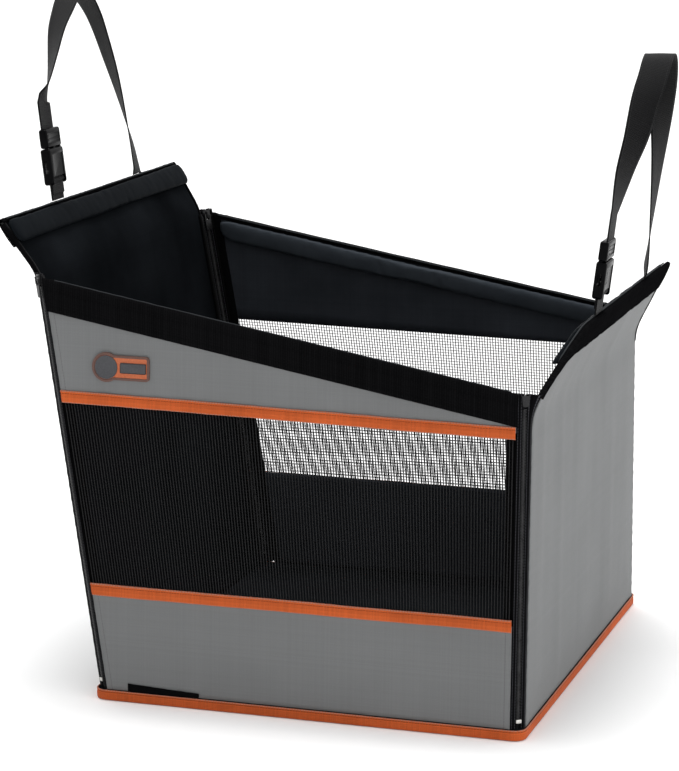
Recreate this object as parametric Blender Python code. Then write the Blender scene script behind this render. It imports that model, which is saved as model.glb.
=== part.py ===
"""Dog car seat: a zip-together fabric box with mesh windows and two hanging straps.

Metres, +Z up. The origin is the middle of the underside. X runs from the high end (left)
to the low end (right), and Y from the near long wall to the far one.
"""
import math

import bmesh
import bpy
from mathutils import Matrix, Vector

# Driving dimensions: the box
base_width = 0.483
base_depth = 0.559
base_corner_radius = 0.012
high_corner = 0.465
low_corner = 0.367
high_wall_lean = math.radians(9.2)
low_wall_lean = 0.0
long_wall_lean = math.radians(-2.0)
corner_leg = 0.014
gap = 0.0003

# Cloth and stiffening
fabric = 0.0014
lining = 0.0014
board = 0.0070
binding_height = 0.0120
binding_thickness = 0.0015
seam_rise = 0.0003

# Mesh windows and the orange trims along their edges
window_low = 0.1235
window_high_at_low_end = 0.3280
window_high_at_high_end = 0.3355
trim_height = 0.0135
trim_thickness = 0.0012
net_thickness = 0.0010
net_bar = 0.0030
net_columns = 14
net_rows = 7

# Padded rims and bands
band_fabric = 0.0012
band_round = 0.0030
rim_outer_height = 0.0345
rim_inner_height = 0.0270
rim_pad_thickness = 0.0090
band_outer_height = 0.0340
band_inner_height = 0.0360
band_pad_thickness = 0.0070

# Flaps above the end walls
flap_flare = math.radians(25.0)
flap_bend = 0.0060
high_flap_length = 0.0690
low_flap_kink = 0.3450
low_flap_length = 0.0900
high_flap_setback = 0.0195
low_flap_far_setback = 0.0145
low_flap_near_setback = 0.1105
flap_rows = 5

# Patch and woven tab on the near wall
patch_inset = 0.0631
patch_clearance = 0.0196
patch_radius = 0.0162
patch_length = 0.0660
patch_bar_height = 0.0270
patch_bar_radius = 0.0040
patch_thickness = 0.0022
patch_arc_points = 18
tab_inset = 0.0392
tab_length = 0.0826
tab_rise = 0.0020
tab_high_side = 0.0068
tab_low_side = 0.0030
tab_thickness = 0.0008

# Corner zips
tape_thickness = 0.0010
chain_split = 0.0012
chain_reach = 0.0030
chain_thickness = 0.0022
slider_length = 0.0120
slider_half_width = 0.0047
slider_plate = 0.0011
slider_channel = 0.0028
slider_slot = 0.0016
slider_lip = 0.0014
slider_web = 0.0006
bail_length = 0.0080
bail_width = 0.0020
bail_rise = 0.0034
bail_thickness = 0.0011
bail_sink = 0.0004
pull_length = 0.0200
pull_width = 0.0080
pull_thickness = 0.0014
pull_bar = 0.0007
pull_window_length = 0.0053
pull_window_width = 0.0040
pull_chamfer = 0.0012
stop_height = 0.0040
stop_start = 0.0060
stop_half_width = 0.0032
park_low = 0.0185
park_side_clearance = 0.0008
release_foot = 0.0025
release_low = 0.0060
release_high = 0.0025

# Straps and their buckles
webbing_width = 0.0320
webbing_thickness = 0.0014
strap_span = 0.2400
strap_offset = 0.0150
strap_lean = math.radians(7.0)
high_strap_rise = 0.2280
low_strap_rise = 0.2720
webbing_steps = 34
buckle_start = 0.0170
buckle_width = 0.0400
socket_length = 0.0410
socket_thickness = 0.0120
socket_wall = 0.0016
socket_pocket_depth = 0.0280
socket_bar_half = 0.0014
socket_bar_height = 0.0050
socket_window_length = 0.0150
plug_block_length = 0.0220
plug_block_thickness = 0.0100
plug_travel = 0.0250
plug_run_out = 0.0040
plug_arm_length = 0.0240
plug_arm_width = 0.0040
plug_guide_width = 0.0060
plug_slot = 0.0026
plug_slot_offset = 0.0022
plug_slot_play = 0.0006
plug_overlap = 0.0010
webbing_end_inset = 0.0040
loop_hole_sides = 12
overrun = 0.0040

# Least cosine of half a turn that a thick line still mitres
mitre_limit = 0.3

# Route of the loop above its straight near leg, as shares of half the span and of the rise,
# with the turn of the webbing in degrees.
loop_route_shares = (
    (-0.93, 0.078, 0.56, 22.0),
    (-0.80, 0.096, 0.70, 38.0),
    (-0.62, 0.112, 0.83, 52.0),
    (-0.42, 0.123, 0.92, 63.0),
    (-0.18, 0.130, 0.985, 71.0),
    (0.05, 0.132, 1.00, 73.0),
    (0.26, 0.128, 0.965, 70.0),
    (0.43, 0.116, 0.88, 60.0),
    (0.56, 0.102, 0.77, 49.0),
    (0.70, 0.082, 0.61, 37.0),
    (0.81, 0.060, 0.45, 25.0),
    (0.91, 0.036, 0.27, 13.0),
    (0.98, 0.018, 0.13, 4.0),
    (1.00, 0.005, 0.04, 0.0),
)

# Derived heights
hinge_height = binding_height + seam_rise
lining_face = -(fabric + gap)
lining_back = lining_face - lining


def clear_scene():
    for thing in list(bpy.data.objects):
        bpy.data.objects.remove(thing)


def finish(name, colour, roughness, metallic=0.0):
    """One Principled material, made once for each finish."""
    if name in bpy.data.materials:
        return bpy.data.materials[name]
    material = bpy.data.materials.new(name)
    material.use_nodes = True
    shader = material.node_tree.nodes["Principled BSDF"]
    shader.inputs["Base Color"].default_value = (*colour, 1.0)
    shader.inputs["Roughness"].default_value = roughness
    shader.inputs["Metallic"].default_value = metallic
    return material


def grey_cloth():
    return finish("grey_cloth", (0.165, 0.170, 0.172), 0.75)


def orange_tape():
    return finish("orange_tape", (0.690, 0.125, 0.028), 0.70)


def black_lining():
    return finish("black_lining", (0.010, 0.012, 0.014), 0.45)


def black_webbing():
    return finish("black_webbing", (0.012, 0.012, 0.014), 0.80)


def black_net():
    return finish("black_net", (0.008, 0.008, 0.009), 0.60)


def black_plastic():
    return finish("black_plastic", (0.015, 0.016, 0.018), 0.35)


def zip_metal():
    return finish("zip_metal", (0.025, 0.025, 0.028), 0.30, 0.90)


def stop_metal():
    return finish("stop_metal", (0.650, 0.640, 0.610), 0.30, 1.0)


def patch_rubber():
    return finish("patch_rubber", (0.090, 0.030, 0.015), 0.60)


def foam():
    return finish("foam", (0.550, 0.540, 0.500), 0.90)


def stiff_board():
    return finish("stiff_board", (0.120, 0.110, 0.100), 0.80)


def add_empty(name, matrix):
    empty = bpy.data.objects.new(name, None)
    empty.matrix_world = matrix
    bpy.context.scene.collection.objects.link(empty)
    return empty


def add_object(name, shape, material, parent, parent_matrix, matrix=None):
    """Closes a bmesh into an object. Its place is given in the world and kept under its parent."""
    bmesh.ops.recalc_face_normals(shape, faces=shape.faces)
    mesh = bpy.data.meshes.new(name)
    shape.to_mesh(mesh)
    shape.free()
    mesh.materials.append(material)
    thing = bpy.data.objects.new(name, mesh)
    bpy.context.scene.collection.objects.link(thing)
    thing.parent = parent
    placed = parent_matrix if matrix is None else matrix
    thing.matrix_basis = parent_matrix.inverted() @ placed if parent else placed
    return thing


def plain_place(a, b, c):
    return Vector((a, b, c))


def prism(outline, low, high, place=plain_place):
    """A polygon in the first two coordinates, carried along the third."""
    shape = bmesh.new()
    bottom = [shape.verts.new(place(a, b, low)) for a, b in outline]
    top = [shape.verts.new(place(a, b, high)) for a, b in outline]
    shape.faces.new(bottom)
    shape.faces.new(top)
    count = len(outline)
    for i in range(count):
        j = (i + 1) % count
        shape.faces.new((bottom[i], bottom[j], top[j], top[i]))
    return shape


def ring_prism(outer, inner, low, high, place=plain_place):
    """A plate with one window: both outlines have as many points."""
    shape = bmesh.new()
    rings = []
    for level in (low, high):
        for outline in (outer, inner):
            rings.append([shape.verts.new(place(a, b, level)) for a, b in outline])
    outer_low, inner_low, outer_high, inner_high = rings
    count = len(outer)
    for i in range(count):
        j = (i + 1) % count
        shape.faces.new((outer_low[i], outer_low[j], inner_low[j], inner_low[i]))
        shape.faces.new((outer_high[i], outer_high[j], inner_high[j], inner_high[i]))
        shape.faces.new((outer_low[i], outer_low[j], outer_high[j], outer_high[i]))
        shape.faces.new((inner_low[i], inner_low[j], inner_high[j], inner_high[i]))
    return shape


def block(x_range, y_range, z_range):
    outline = [(x_range[0], y_range[0]), (x_range[1], y_range[0]),
               (x_range[1], y_range[1]), (x_range[0], y_range[1])]
    return prism(outline, z_range[0], z_range[1])


def combine(thing, shape, operation):
    """Unites with, or cuts by, a hidden helper solid that shares the object's place."""
    bmesh.ops.recalc_face_normals(shape, faces=shape.faces)
    mesh = bpy.data.meshes.new(thing.name + "_helper")
    shape.to_mesh(mesh)
    shape.free()
    helper = bpy.data.objects.new(mesh.name, mesh)
    bpy.context.scene.collection.objects.link(helper)
    helper.parent = thing.parent
    helper.matrix_basis = thing.matrix_basis
    helper.hide_render = True
    helper.display_type = "WIRE"
    modifier = thing.modifiers.new(operation.lower(), "BOOLEAN")
    modifier.operation = operation
    modifier.solver = "EXACT"
    modifier.object = helper


def rounded_rectangle(half_x, half_y, radius, steps=4):
    points = []
    for quarter, (sx, sy) in enumerate(((1, 1), (-1, 1), (-1, -1), (1, -1))):
        for i in range(steps + 1):
            angle = math.pi / 2 * (quarter + i / steps)
            points.append((sx * (half_x - radius) + radius * math.cos(angle),
                           sy * (half_y - radius) + radius * math.sin(angle)))
    return points


def thick_line(path, thickness):
    """Both sides of an open line of some thickness, with mitred turns."""
    half = thickness / 2
    left = []
    right = []
    for i, (a, b) in enumerate(path):
        before = Vector(path[max(i - 1, 0)])
        after = Vector(path[min(i + 1, len(path) - 1)])
        here = Vector((a, b))
        normals = []
        for start, end in ((before, here), (here, after)):
            run = end - start
            if run.length > 0:
                run.normalize()
                normals.append(Vector((-run.y, run.x)))
        normal = sum(normals, Vector((0.0, 0.0))).normalized()
        reach = half / max(normal.dot(normals[0]), mitre_limit)
        left.append(here + normal * reach)
        right.append(here - normal * reach)
    return left, right


def carried_line(path, thickness, limits, place):
    """A thick line in (height, offset), carried sideways between limits that each point may set."""
    left, right = thick_line(path, thickness)
    shape = bmesh.new()
    rows = []
    for height, offset in [*left, *reversed(right)]:
        low, high = limits(height, offset)
        rows.append((shape.verts.new(place(low, height, offset)),
                     shape.verts.new(place(high, height, offset))))
    count = len(rows)
    for i in range(count):
        j = (i + 1) % count
        shape.faces.new((rows[i][0], rows[j][0], rows[j][1], rows[i][1]))
    for end in (0, 1):
        for i in range(len(path) - 1):
            shape.faces.new((rows[i][end], rows[i + 1][end],
                             rows[count - 2 - i][end], rows[count - 1 - i][end]))
    return shape


def carried_outline(outline, limits, place):
    """A closed outline in (height, offset), carried sideways between its limits."""
    shape = bmesh.new()
    rows = []
    for height, offset in outline:
        low, high = limits(height, offset)
        rows.append((shape.verts.new(place(low, height, offset)),
                     shape.verts.new(place(high, height, offset))))
    count = len(rows)
    for i in range(count):
        j = (i + 1) % count
        shape.faces.new((rows[i][0], rows[j][0], rows[j][1], rows[i][1]))
    for end in (0, 1):
        shape.faces.new([row[end] for row in rows])
    return shape


class Wall:
    """A wall that folds about its bottom seam. Local x runs along it, y up it, z out of it."""

    def __init__(self, name, bearing, lean, reach, half_length, low_rate, high_rate):
        self.name = name
        self.lean = lean
        self.half_length = half_length
        self.rates = (low_rate, high_rate)
        turn = Matrix.Rotation(bearing, 4, "Z")
        foot = turn @ Vector((0.0, -reach, hinge_height))
        tilt = Matrix.Rotation(math.pi / 2 + lean, 4, "X")
        self.matrix = Matrix.Translation(foot) @ turn @ tilt
        self.empty = add_empty(name + "_fold", self.matrix)

    def rise(self, height):
        return (height - hinge_height) / math.cos(self.lean)

    def edge(self, side):
        """Start and rate of a side edge, where the corner tape begins."""
        rate = self.rates[0 if side < 0 else 1]
        start = self.half_length - corner_leg / math.cos(math.atan(rate))
        return side * start, side * rate

    def corner(self, side, rise):
        return side * (self.half_length + self.rates[0 if side < 0 else 1] * rise)

    def limits(self, rise, offset):
        mitre = max(0.0, -offset)
        low_start, low_rate = self.edge(-1)
        high_start, high_rate = self.edge(1)
        return low_start + low_rate * rise + mitre, high_start + high_rate * rise - mitre

    def meet(self, side, line, offset=0.0, drop=0.0):
        """Where a sloping line across the wall meets the side edge."""
        start, rate = self.edge(side)
        start -= side * max(0.0, -offset)
        level, slope = line
        along = (start + rate * (level - drop)) / (1 - rate * slope)
        return along, level - drop + slope * along

    def add(self, name, shape, material, matrix=None):
        return add_object(name, shape, material, self.empty, self.matrix, matrix)


# The base: a stiff board between a cover and a lining, bound round its edge

def build_base():
    half_x = base_width / 2
    half_y = base_depth / 2
    place = Matrix.Identity(4)
    inside = rounded_rectangle(half_x - gap, half_y - gap, base_corner_radius)
    level = 0.0
    for name, thickness, material in (("base_cover", fabric, grey_cloth()),
                                      ("base_board", board, stiff_board()),
                                      ("floor_lining", lining, black_lining())):
        add_object(name, prism(inside, level, level + thickness), material, None, place)
        level += thickness + gap
    outer = rounded_rectangle(half_x + binding_thickness, half_y + binding_thickness,
                              base_corner_radius + binding_thickness)
    inner = rounded_rectangle(half_x, half_y, base_corner_radius)
    add_object("base_binding", ring_prism(outer, inner, 0.0, binding_height), orange_tape(), None, place)


# Long walls: two cloth panels with a net window between them and a padded rim on top

def wall_line(wall, height_at_high_end, height_at_low_end, high_side):
    """Level and slope of a line that runs from the high end's corner to the low end's."""
    high_rise = wall.rise(height_at_high_end)
    low_rise = wall.rise(height_at_low_end)
    high_x = wall.corner(high_side, high_rise)
    low_x = wall.corner(-high_side, low_rise)
    slope = (low_rise - high_rise) / (low_x - high_x)
    return high_rise - slope * high_x, slope


def add_long_panel(wall, name, low_line, high_line, face, back, material, low_drop, high_drop):
    outline = [wall.meet(-1, low_line, back, low_drop), wall.meet(1, low_line, back, low_drop),
               wall.meet(1, high_line, back, high_drop), wall.meet(-1, high_line, back, high_drop)]
    wall.add(name, prism(outline, back, face), material)


def add_line_strip(wall, name, line, path, thickness, material):
    """A strip that follows a sloping line; its path is given as (rise above the line, offset)."""
    level, slope = line

    def place(along, rise, offset):
        return Vector((along, level + rise + slope * along, offset))

    def limits(rise, offset):
        return (wall.meet(-1, line, offset, -rise)[0], wall.meet(1, line, offset, -rise)[0])

    wall.add(name, carried_line(path, thickness, limits, place), material)


def band_path(outer_height, inner_height, pad_thickness):
    """Middle line of a band that wraps a padded edge, as (rise below the top, offset)."""
    top = -band_fabric / 2
    out = gap + band_fabric / 2
    back = lining_back - gap - pad_thickness - gap - band_fabric / 2
    under = lining_back - gap - band_fabric / 2
    return [(-outer_height, out), (top - band_round, out), (top, out - band_round),
            (top, back + band_round), (top - band_round, back),
            (-inner_height + band_round, back), (-inner_height, back + band_round),
            (-inner_height, under)]


def pad_outline(inner_height, pad_thickness):
    top = -band_fabric - gap
    foot = -inner_height + band_fabric / 2 + gap
    face = lining_back - gap
    back = face - pad_thickness
    cut = band_round
    return [(foot, face), (top, face), (top, back + cut), (top - cut, back),
            (foot + cut, back), (foot, back + cut)]


def cloth_top():
    """How far below the edge the cloth inside a band ends."""
    return band_fabric / 2 + band_round + gap


def build_net(wall, name, low_line, high_line):
    """A flat net: bars round square gaps, drawn between the middle lines of both trims."""
    corners = [Vector(wall.meet(-1, low_line, -net_thickness, -gap)),
               Vector(wall.meet(1, low_line, -net_thickness, -gap)),
               Vector(wall.meet(1, high_line, -net_thickness, gap)),
               Vector(wall.meet(-1, high_line, -net_thickness, gap))]
    width = (corners[1] - corners[0]).length
    height = (corners[3] - corners[0]).length
    column_marks = bar_marks(width, net_columns)
    row_marks = bar_marks(height, net_rows)
    shape = bmesh.new()
    grids = []
    for offset in (0.0, -net_thickness):
        grid = []
        for b in row_marks:
            left = corners[0].lerp(corners[3], b)
            right = corners[1].lerp(corners[2], b)
            grid.append([shape.verts.new((*left.lerp(right, a), offset)) for a in column_marks])
        grids.append(grid)
    face_grid, back_grid = grids
    solid = [[not (i % 2 and j % 2) for i in range(len(column_marks) - 1)]
             for j in range(len(row_marks) - 1)]
    for j, row in enumerate(solid):
        for i, filled in enumerate(row):
            if not filled:
                continue
            for grid in grids:
                shape.faces.new((grid[j][i], grid[j][i + 1], grid[j + 1][i + 1], grid[j + 1][i]))
            sides = (((j - 1, i), (j, i), (j, i + 1)), ((j + 1, i), (j + 1, i), (j + 1, i + 1)),
                     ((j, i - 1), (j, i), (j + 1, i)), ((j, i + 1), (j, i + 1), (j + 1, i + 1)))
            for (nj, ni), start, end in sides:
                inside = 0 <= nj < len(solid) and 0 <= ni < len(row)
                if inside and solid[nj][ni]:
                    continue
                shape.faces.new((face_grid[start[0]][start[1]], face_grid[end[0]][end[1]],
                                 back_grid[end[0]][end[1]], back_grid[start[0]][start[1]]))
    wall.add(name, shape, black_net())


def bar_marks(length, gaps):
    """Shares of a length where bars begin and end, with a bar at each edge."""
    pitch = (length - net_bar) / gaps
    marks = []
    for i in range(gaps + 1):
        marks += [i * pitch / length, (i * pitch + net_bar) / length]
    return marks


def build_long_wall(wall, side_name, high_side):
    foot = (seam_rise, 0.0)
    low_line = (wall.rise(window_low), 0.0)
    high_line = wall_line(wall, window_high_at_high_end, window_high_at_low_end, high_side)
    rim_line = wall_line(wall, high_corner, low_corner, high_side)
    for layer, face, back, material in (("panel", 0.0, -fabric, grey_cloth()),
                                        ("lining", lining_face, lining_back, black_lining())):
        add_long_panel(wall, f"{side_name}_lower_{layer}", foot, low_line, face, back, material, 0.0, gap)
        add_long_panel(wall, f"{side_name}_upper_{layer}", high_line, rim_line, face, back, material,
                       -gap, cloth_top())
    build_net(wall, f"{side_name}_net", low_line, high_line)
    trim_offset = gap + trim_thickness / 2
    trim_path = [(-trim_height / 2, trim_offset), (trim_height / 2, trim_offset)]
    add_line_strip(wall, f"{side_name}_lower_trim", low_line, trim_path, trim_thickness, orange_tape())
    add_line_strip(wall, f"{side_name}_upper_trim", high_line, trim_path, trim_thickness, orange_tape())
    path = band_path(rim_outer_height, rim_inner_height, rim_pad_thickness)
    add_line_strip(wall, f"{side_name}_rim_band", rim_line, path, band_fabric, black_webbing())
    level, slope = rim_line

    def place(along, rise, offset):
        return Vector((along, level + rise + slope * along, offset))

    def limits(rise, offset):
        return (wall.meet(-1, rim_line, offset, -rise)[0] + gap,
                wall.meet(1, rim_line, offset, -rise)[0] - gap)

    outline = pad_outline(rim_inner_height, rim_pad_thickness)
    wall.add(f"{side_name}_rim_pad", carried_outline(outline, limits, place), foam())


def build_patch(wall):
    """A bare moulded patch below the rim band: a disc with a bar that runs out of its side."""
    level, slope = wall_line(wall, high_corner, low_corner, -1)
    rise = wall.rise(high_corner) - rim_outer_height - patch_clearance
    start = wall.corner(-1, rise) + patch_inset
    middle = level + slope * (start + patch_length) - rim_outer_height - patch_clearance - patch_radius
    centre = start + patch_radius
    half_bar = patch_bar_height / 2
    opening = math.asin(half_bar / patch_radius)
    outline = []
    for i in range(patch_arc_points + 1):
        angle = opening + (2 * math.pi - 2 * opening) * i / patch_arc_points
        outline.append((centre + patch_radius * math.cos(angle), middle + patch_radius * math.sin(angle)))
    end = start + patch_length - patch_bar_radius
    for side in (-1, 1):
        for i in range(4):
            turn = math.pi / 2 * (i / 3 if side > 0 else i / 3 - 1)
            level = middle + side * (half_bar - patch_bar_radius)
            outline.append((end + patch_bar_radius * math.cos(turn),
                            level + patch_bar_radius * math.sin(turn)))
    wall.add("patch", prism(outline, gap, gap + patch_thickness), patch_rubber())


def build_tab(wall):
    """A woven tab caught in the bottom seam, a little askew."""
    start = wall.corner(-1, tab_rise) + tab_inset
    end = start + tab_length
    outline = [(start, tab_rise), (end, tab_rise),
               (end, tab_rise + tab_low_side), (start, tab_rise + tab_high_side)]
    wall.add("woven_tab", prism(outline, gap, gap + tab_thickness), black_webbing())


# End walls: one cloth panel each, with a padded flap that flares outwards

class EndWall:
    """The profile of an end wall: straight up to a kink, then flared."""

    def __init__(self, wall, kink_height, flap_length, near_side, near_reach, far_reach, near_power):
        self.wall = wall
        self.kink = wall.rise(kink_height)
        self.top = self.kink + flap_length
        self.near_side = near_side
        self.reaches = {near_side: near_reach, -near_side: far_reach}
        self.powers = {near_side: near_power, -near_side: 1}

    def place(self, along, distance, offset):
        if distance <= self.kink:
            return Vector((along, distance, offset))
        past = distance - self.kink
        lift = past * math.cos(flap_flare) - offset * math.sin(flap_flare)
        out = past * math.sin(flap_flare) + offset * math.cos(flap_flare)
        return Vector((along, self.kink + lift, out))

    def limits(self, distance, offset):
        low, high = self.wall.limits(min(distance, self.kink), offset)
        if distance <= self.kink:
            return low, high
        share = min((distance - self.kink) / (self.top - self.kink), 1.0)
        mitre = max(0.0, -offset)
        ends = []
        for side, start in ((-1, low), (1, high)):
            goal = side * (self.reaches[side] - mitre)
            ends.append(start + (goal - start) * share ** self.powers[side])
        return tuple(ends)

    def stations(self, low, high):
        marks = [low, self.kink - flap_bend, self.kink + flap_bend]
        start = self.kink + flap_bend
        return marks + [start + (high - start) * (i + 1) / flap_rows for i in range(flap_rows)]


def build_end_wall(end, side_name):
    wall = end.wall
    cloth_end = end.top - cloth_top()
    for layer, face, thickness, material in (("panel", 0.0, fabric, grey_cloth()),
                                             ("lining", lining_face, lining, black_lining())):
        middle = face - thickness / 2
        path = [(mark, middle) for mark in end.stations(seam_rise, cloth_end)]
        shape = carried_line(path, thickness, end.limits, end.place)
        wall.add(f"{side_name}_{layer}", shape, material)
    path = []
    for rise, offset in band_path(band_outer_height, band_inner_height, band_pad_thickness):
        path.append((end.top + rise, offset))
    path = subdivided(path, flap_rows)
    shape = carried_line(path, band_fabric, end.limits, end.place)
    wall.add(f"{side_name}_band", shape, black_webbing())
    outline = []
    for rise, offset in pad_outline(band_inner_height, band_pad_thickness):
        outline.append((end.top + rise, offset))
    build_end_pad(end, f"{side_name}_pad", outline)


def build_end_pad(end, name, outline):
    """The padding strip, cut square inside the band's narrowest reach."""
    foot = min(point[0] for point in outline)
    limits = [end.limits(foot, -band_pad_thickness), end.limits(end.top, -band_pad_thickness)]
    low = max(pair[0] for pair in limits) + gap
    high = min(pair[1] for pair in limits) - gap
    end.wall.add(name, carried_outline(outline, lambda rise, offset: (low, high), end.place), foam())


def subdivided(path, count):
    """Extra points along the long straight runs of a line."""
    points = [path[0]]
    for start, finish_point in zip(path, path[1:]):
        run = Vector(finish_point) - Vector(start)
        pieces = count if run.length > 2 * band_round + band_pad_thickness else 1
        for i in range(pieces):
            share = (i + 1) / pieces
            points.append((start[0] + run.x * share, start[1] + run.y * share))
    return points


# Corner zips: a tape with its row of teeth on each wall, a slider, a pull and a bottom stop

class Corner:
    """A corner's frame: y up the zip, z outwards, x across it."""

    def __init__(self, x_side, y_side, end_lean, top_height):
        foot = Vector((x_side * base_width / 2, y_side * base_depth / 2, hinge_height))
        up = Vector((x_side * math.tan(end_lean), y_side * math.tan(long_wall_lean), 1.0)).normalized()
        long_normal = Vector((0.0, y_side * math.cos(long_wall_lean), -math.sin(long_wall_lean)))
        end_normal = Vector((x_side * math.cos(end_lean), 0.0, -math.sin(end_lean)))
        along_long = long_normal.cross(up).normalized()
        if along_long.x * x_side > 0:
            along_long.negate()
        along_end = end_normal.cross(up).normalized()
        if along_end.y * y_side > 0:
            along_end.negate()
        out = -(along_long + along_end).normalized()
        across = up.cross(out).normalized()
        self.long_side = 1 if across.dot(along_long - along_end) > 0 else -1
        self.half_width = corner_leg * (along_long - along_end).length / 2
        origin = foot + (along_long + along_end) * (corner_leg / 2)
        self.matrix = Matrix((across, up, out)).transposed().to_4x4()
        self.matrix.translation = origin
        self.length = (top_height - hinge_height) / up.z


def add_tape(corner, wall, name, side, zones):
    """A tape on one side of the corner: its outer strip runs all the way, its inner part in zones."""
    sign = corner.long_side * side
    inner = park_side_clearance + slider_half_width if side > 0 else chain_split / 2
    outer = corner.half_width - gap

    def strip(start, end, low, high, thickness):
        xs = sorted((sign * start, sign * end))
        return block(xs, (low, high), (-thickness / 2, thickness / 2))

    edge = strip(inner, outer, seam_rise, corner.length, tape_thickness)
    thing = wall.add(name, edge, black_webbing(), corner.matrix)
    for low, high in zones:
        if side > 0:
            combine(thing, strip(chain_split / 2, inner + slider_lip, low, high, tape_thickness), "UNION")
        combine(thing, strip(chain_split / 2, chain_reach, low, high, chain_thickness), "UNION")


def slider_profile():
    """An I with lips: two plates on a thin web, with a slot each side for the tapes."""
    half = slider_half_width
    lip = half - slider_lip
    web = slider_web / 2
    channel = slider_channel / 2
    slot = slider_slot / 2
    face = channel + slider_plate
    quarter = [(web, channel), (lip, channel), (lip, slot), (half, slot), (half, face)]
    right = [(x, -z) for x, z in quarter[::-1]] + quarter
    left = [(-x, -z) for x, z in right]
    return right + left


def swapped(a, b, c):
    """Carries a profile in (x, z) along y."""
    return Vector((a, c, b))


def arch_place(a, b, c):
    """Carries a profile in (y, z) along x."""
    return Vector((c, a, b))


def rectangle(low_a, high_a, low_b, high_b):
    return [(low_a, low_b), (high_a, low_b), (high_a, high_b), (low_a, high_b)]


def chamfered(low_a, high_a, low_b, high_b, cut):
    """A rectangle with its corners cut off."""
    return [(high_a, high_b - cut), (high_a - cut, high_b), (low_a + cut, high_b), (low_a, high_b - cut),
            (low_a, low_b + cut), (low_a + cut, low_b), (high_a - cut, low_b), (high_a, low_b + cut)]


def build_zip(corner, name, long_wall, end_wall, inside_pull):
    park_top = corner.length - slider_length
    zones = [(stop_start + stop_height + gap, park_low - release_foot),
             (park_low + slider_length + release_low, park_top - release_high)]
    add_tape(corner, long_wall, f"{name}_long_tape", 1, zones)
    add_tape(corner, end_wall, f"{name}_end_tape", -1, [(stop_start + stop_height + gap, corner.length)])
    turn = Matrix.Rotation(math.pi, 4, "Y") if inside_pull else Matrix.Identity(4)
    middle = park_top + slider_length / 2
    slider_matrix = corner.matrix @ Matrix.Translation((0.0, middle, 0.0)) @ turn
    half = slider_length / 2
    slider = add_object(f"{name}_slider", prism(slider_profile(), -half, half, swapped), zip_metal(),
                        end_wall.empty, end_wall.matrix, slider_matrix)
    face = slider_channel / 2 + slider_plate
    base = face - bail_sink
    top = face + bail_rise
    outer = rectangle(-bail_length / 2, bail_length / 2, base, top)
    inner = rectangle(bail_thickness - bail_length / 2, bail_length / 2 - bail_thickness,
                      face - bail_sink / 2, top - bail_thickness)
    combine(slider, ring_prism(outer, inner, -bail_width / 2, bail_width / 2, arch_place), "UNION")

    pull_axis = (face + top - bail_thickness) / 2
    stop = block((-stop_half_width, stop_half_width), (stop_start, stop_start + stop_height),
                 (tape_thickness / 2 + gap, pull_axis - pull_thickness / 2 - gap))
    end_wall.add(f"{name}_stop", stop, stop_metal(), corner.matrix)

    pull_matrix = slider_matrix @ Matrix.Translation((0.0, 0.0, pull_axis))
    half_width = pull_width / 2
    window = pull_window_width / 2
    outer = chamfered(-half_width, half_width, pull_bar - pull_length, pull_bar, pull_chamfer)
    inner = chamfered(-window, window, -pull_bar - pull_window_length, -pull_bar, pull_chamfer / 3)
    pull = ring_prism(outer, inner, -pull_thickness / 2, pull_thickness / 2)
    add_object(f"{name}_pull", pull, zip_metal(), slider, slider_matrix, pull_matrix)


# Hanging straps: a loop of webbing whose near leg passes through a side-release buckle

class Strap:
    """A strap that swings about the top edge of its flap. Positions are (along, out, up)."""

    def __init__(self, name, side, end, rise):
        self.name = name
        self.side = side
        self.rise = rise
        band_middle = (gap + band_fabric + lining_back - gap - band_pad_thickness - gap - band_fabric) / 2
        edge_clearance = math.hypot(webbing_thickness, webbing_thickness) / 2 + gap
        edge = end.wall.matrix @ end.place(0.0, end.top + edge_clearance, band_middle)
        edge.y = strap_offset
        self.matrix = Matrix.Translation(edge)
        self.empty = bpy.data.objects.new(name + "_swing", None)
        bpy.context.scene.collection.objects.link(self.empty)
        self.empty.parent = end.wall.empty
        self.empty.matrix_basis = end.wall.matrix.inverted() @ self.matrix
        near_end = edge + Vector((0.0, -strap_span / 2, 0.0))
        turn = Matrix.Rotation(-side * math.pi / 2, 4, "Z")
        lean = Matrix.Rotation(-strap_lean, 4, "X")
        self.leg = Matrix.Translation(near_end) @ turn @ lean

    def place(self, along, out, up):
        """A point in the strap's own frame, which keeps the world's directions."""
        return Vector((self.side * out, along, up))

    def add(self, name, shape, material, matrix=None):
        return add_object(f"{self.name}_{name}", shape, material, self.empty, self.matrix, matrix)


def smooth_route(points, steps):
    """Evenly shared samples of a smooth curve through all points."""
    samples = []
    count = len(points) - 1
    for step in range(steps + 1):
        position = step / steps * count
        i = min(int(position), count - 1)
        t = position - i
        p0 = points[max(i - 1, 0)]
        p1 = points[i]
        p2 = points[i + 1]
        p3 = points[min(i + 2, count)]
        sample = []
        for a, b, c, d in zip(p0, p1, p2, p3):
            sample.append(0.5 * (2 * b + (c - a) * t + (2 * a - 5 * b + 4 * c - d) * t * t
                                 + (3 * b - a - 3 * c + d) * t * t * t))
        samples.append(sample)
    return samples


def straight_leg_point(height):
    """A point of the near leg's webbing, which lies beside the buckle's middle plane."""
    out = height * math.sin(strap_lean) + plug_slot_offset * math.cos(strap_lean)
    up = height * math.cos(strap_lean) - plug_slot_offset * math.sin(strap_lean)
    return [-strap_span / 2, out, up, 0.0]


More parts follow.
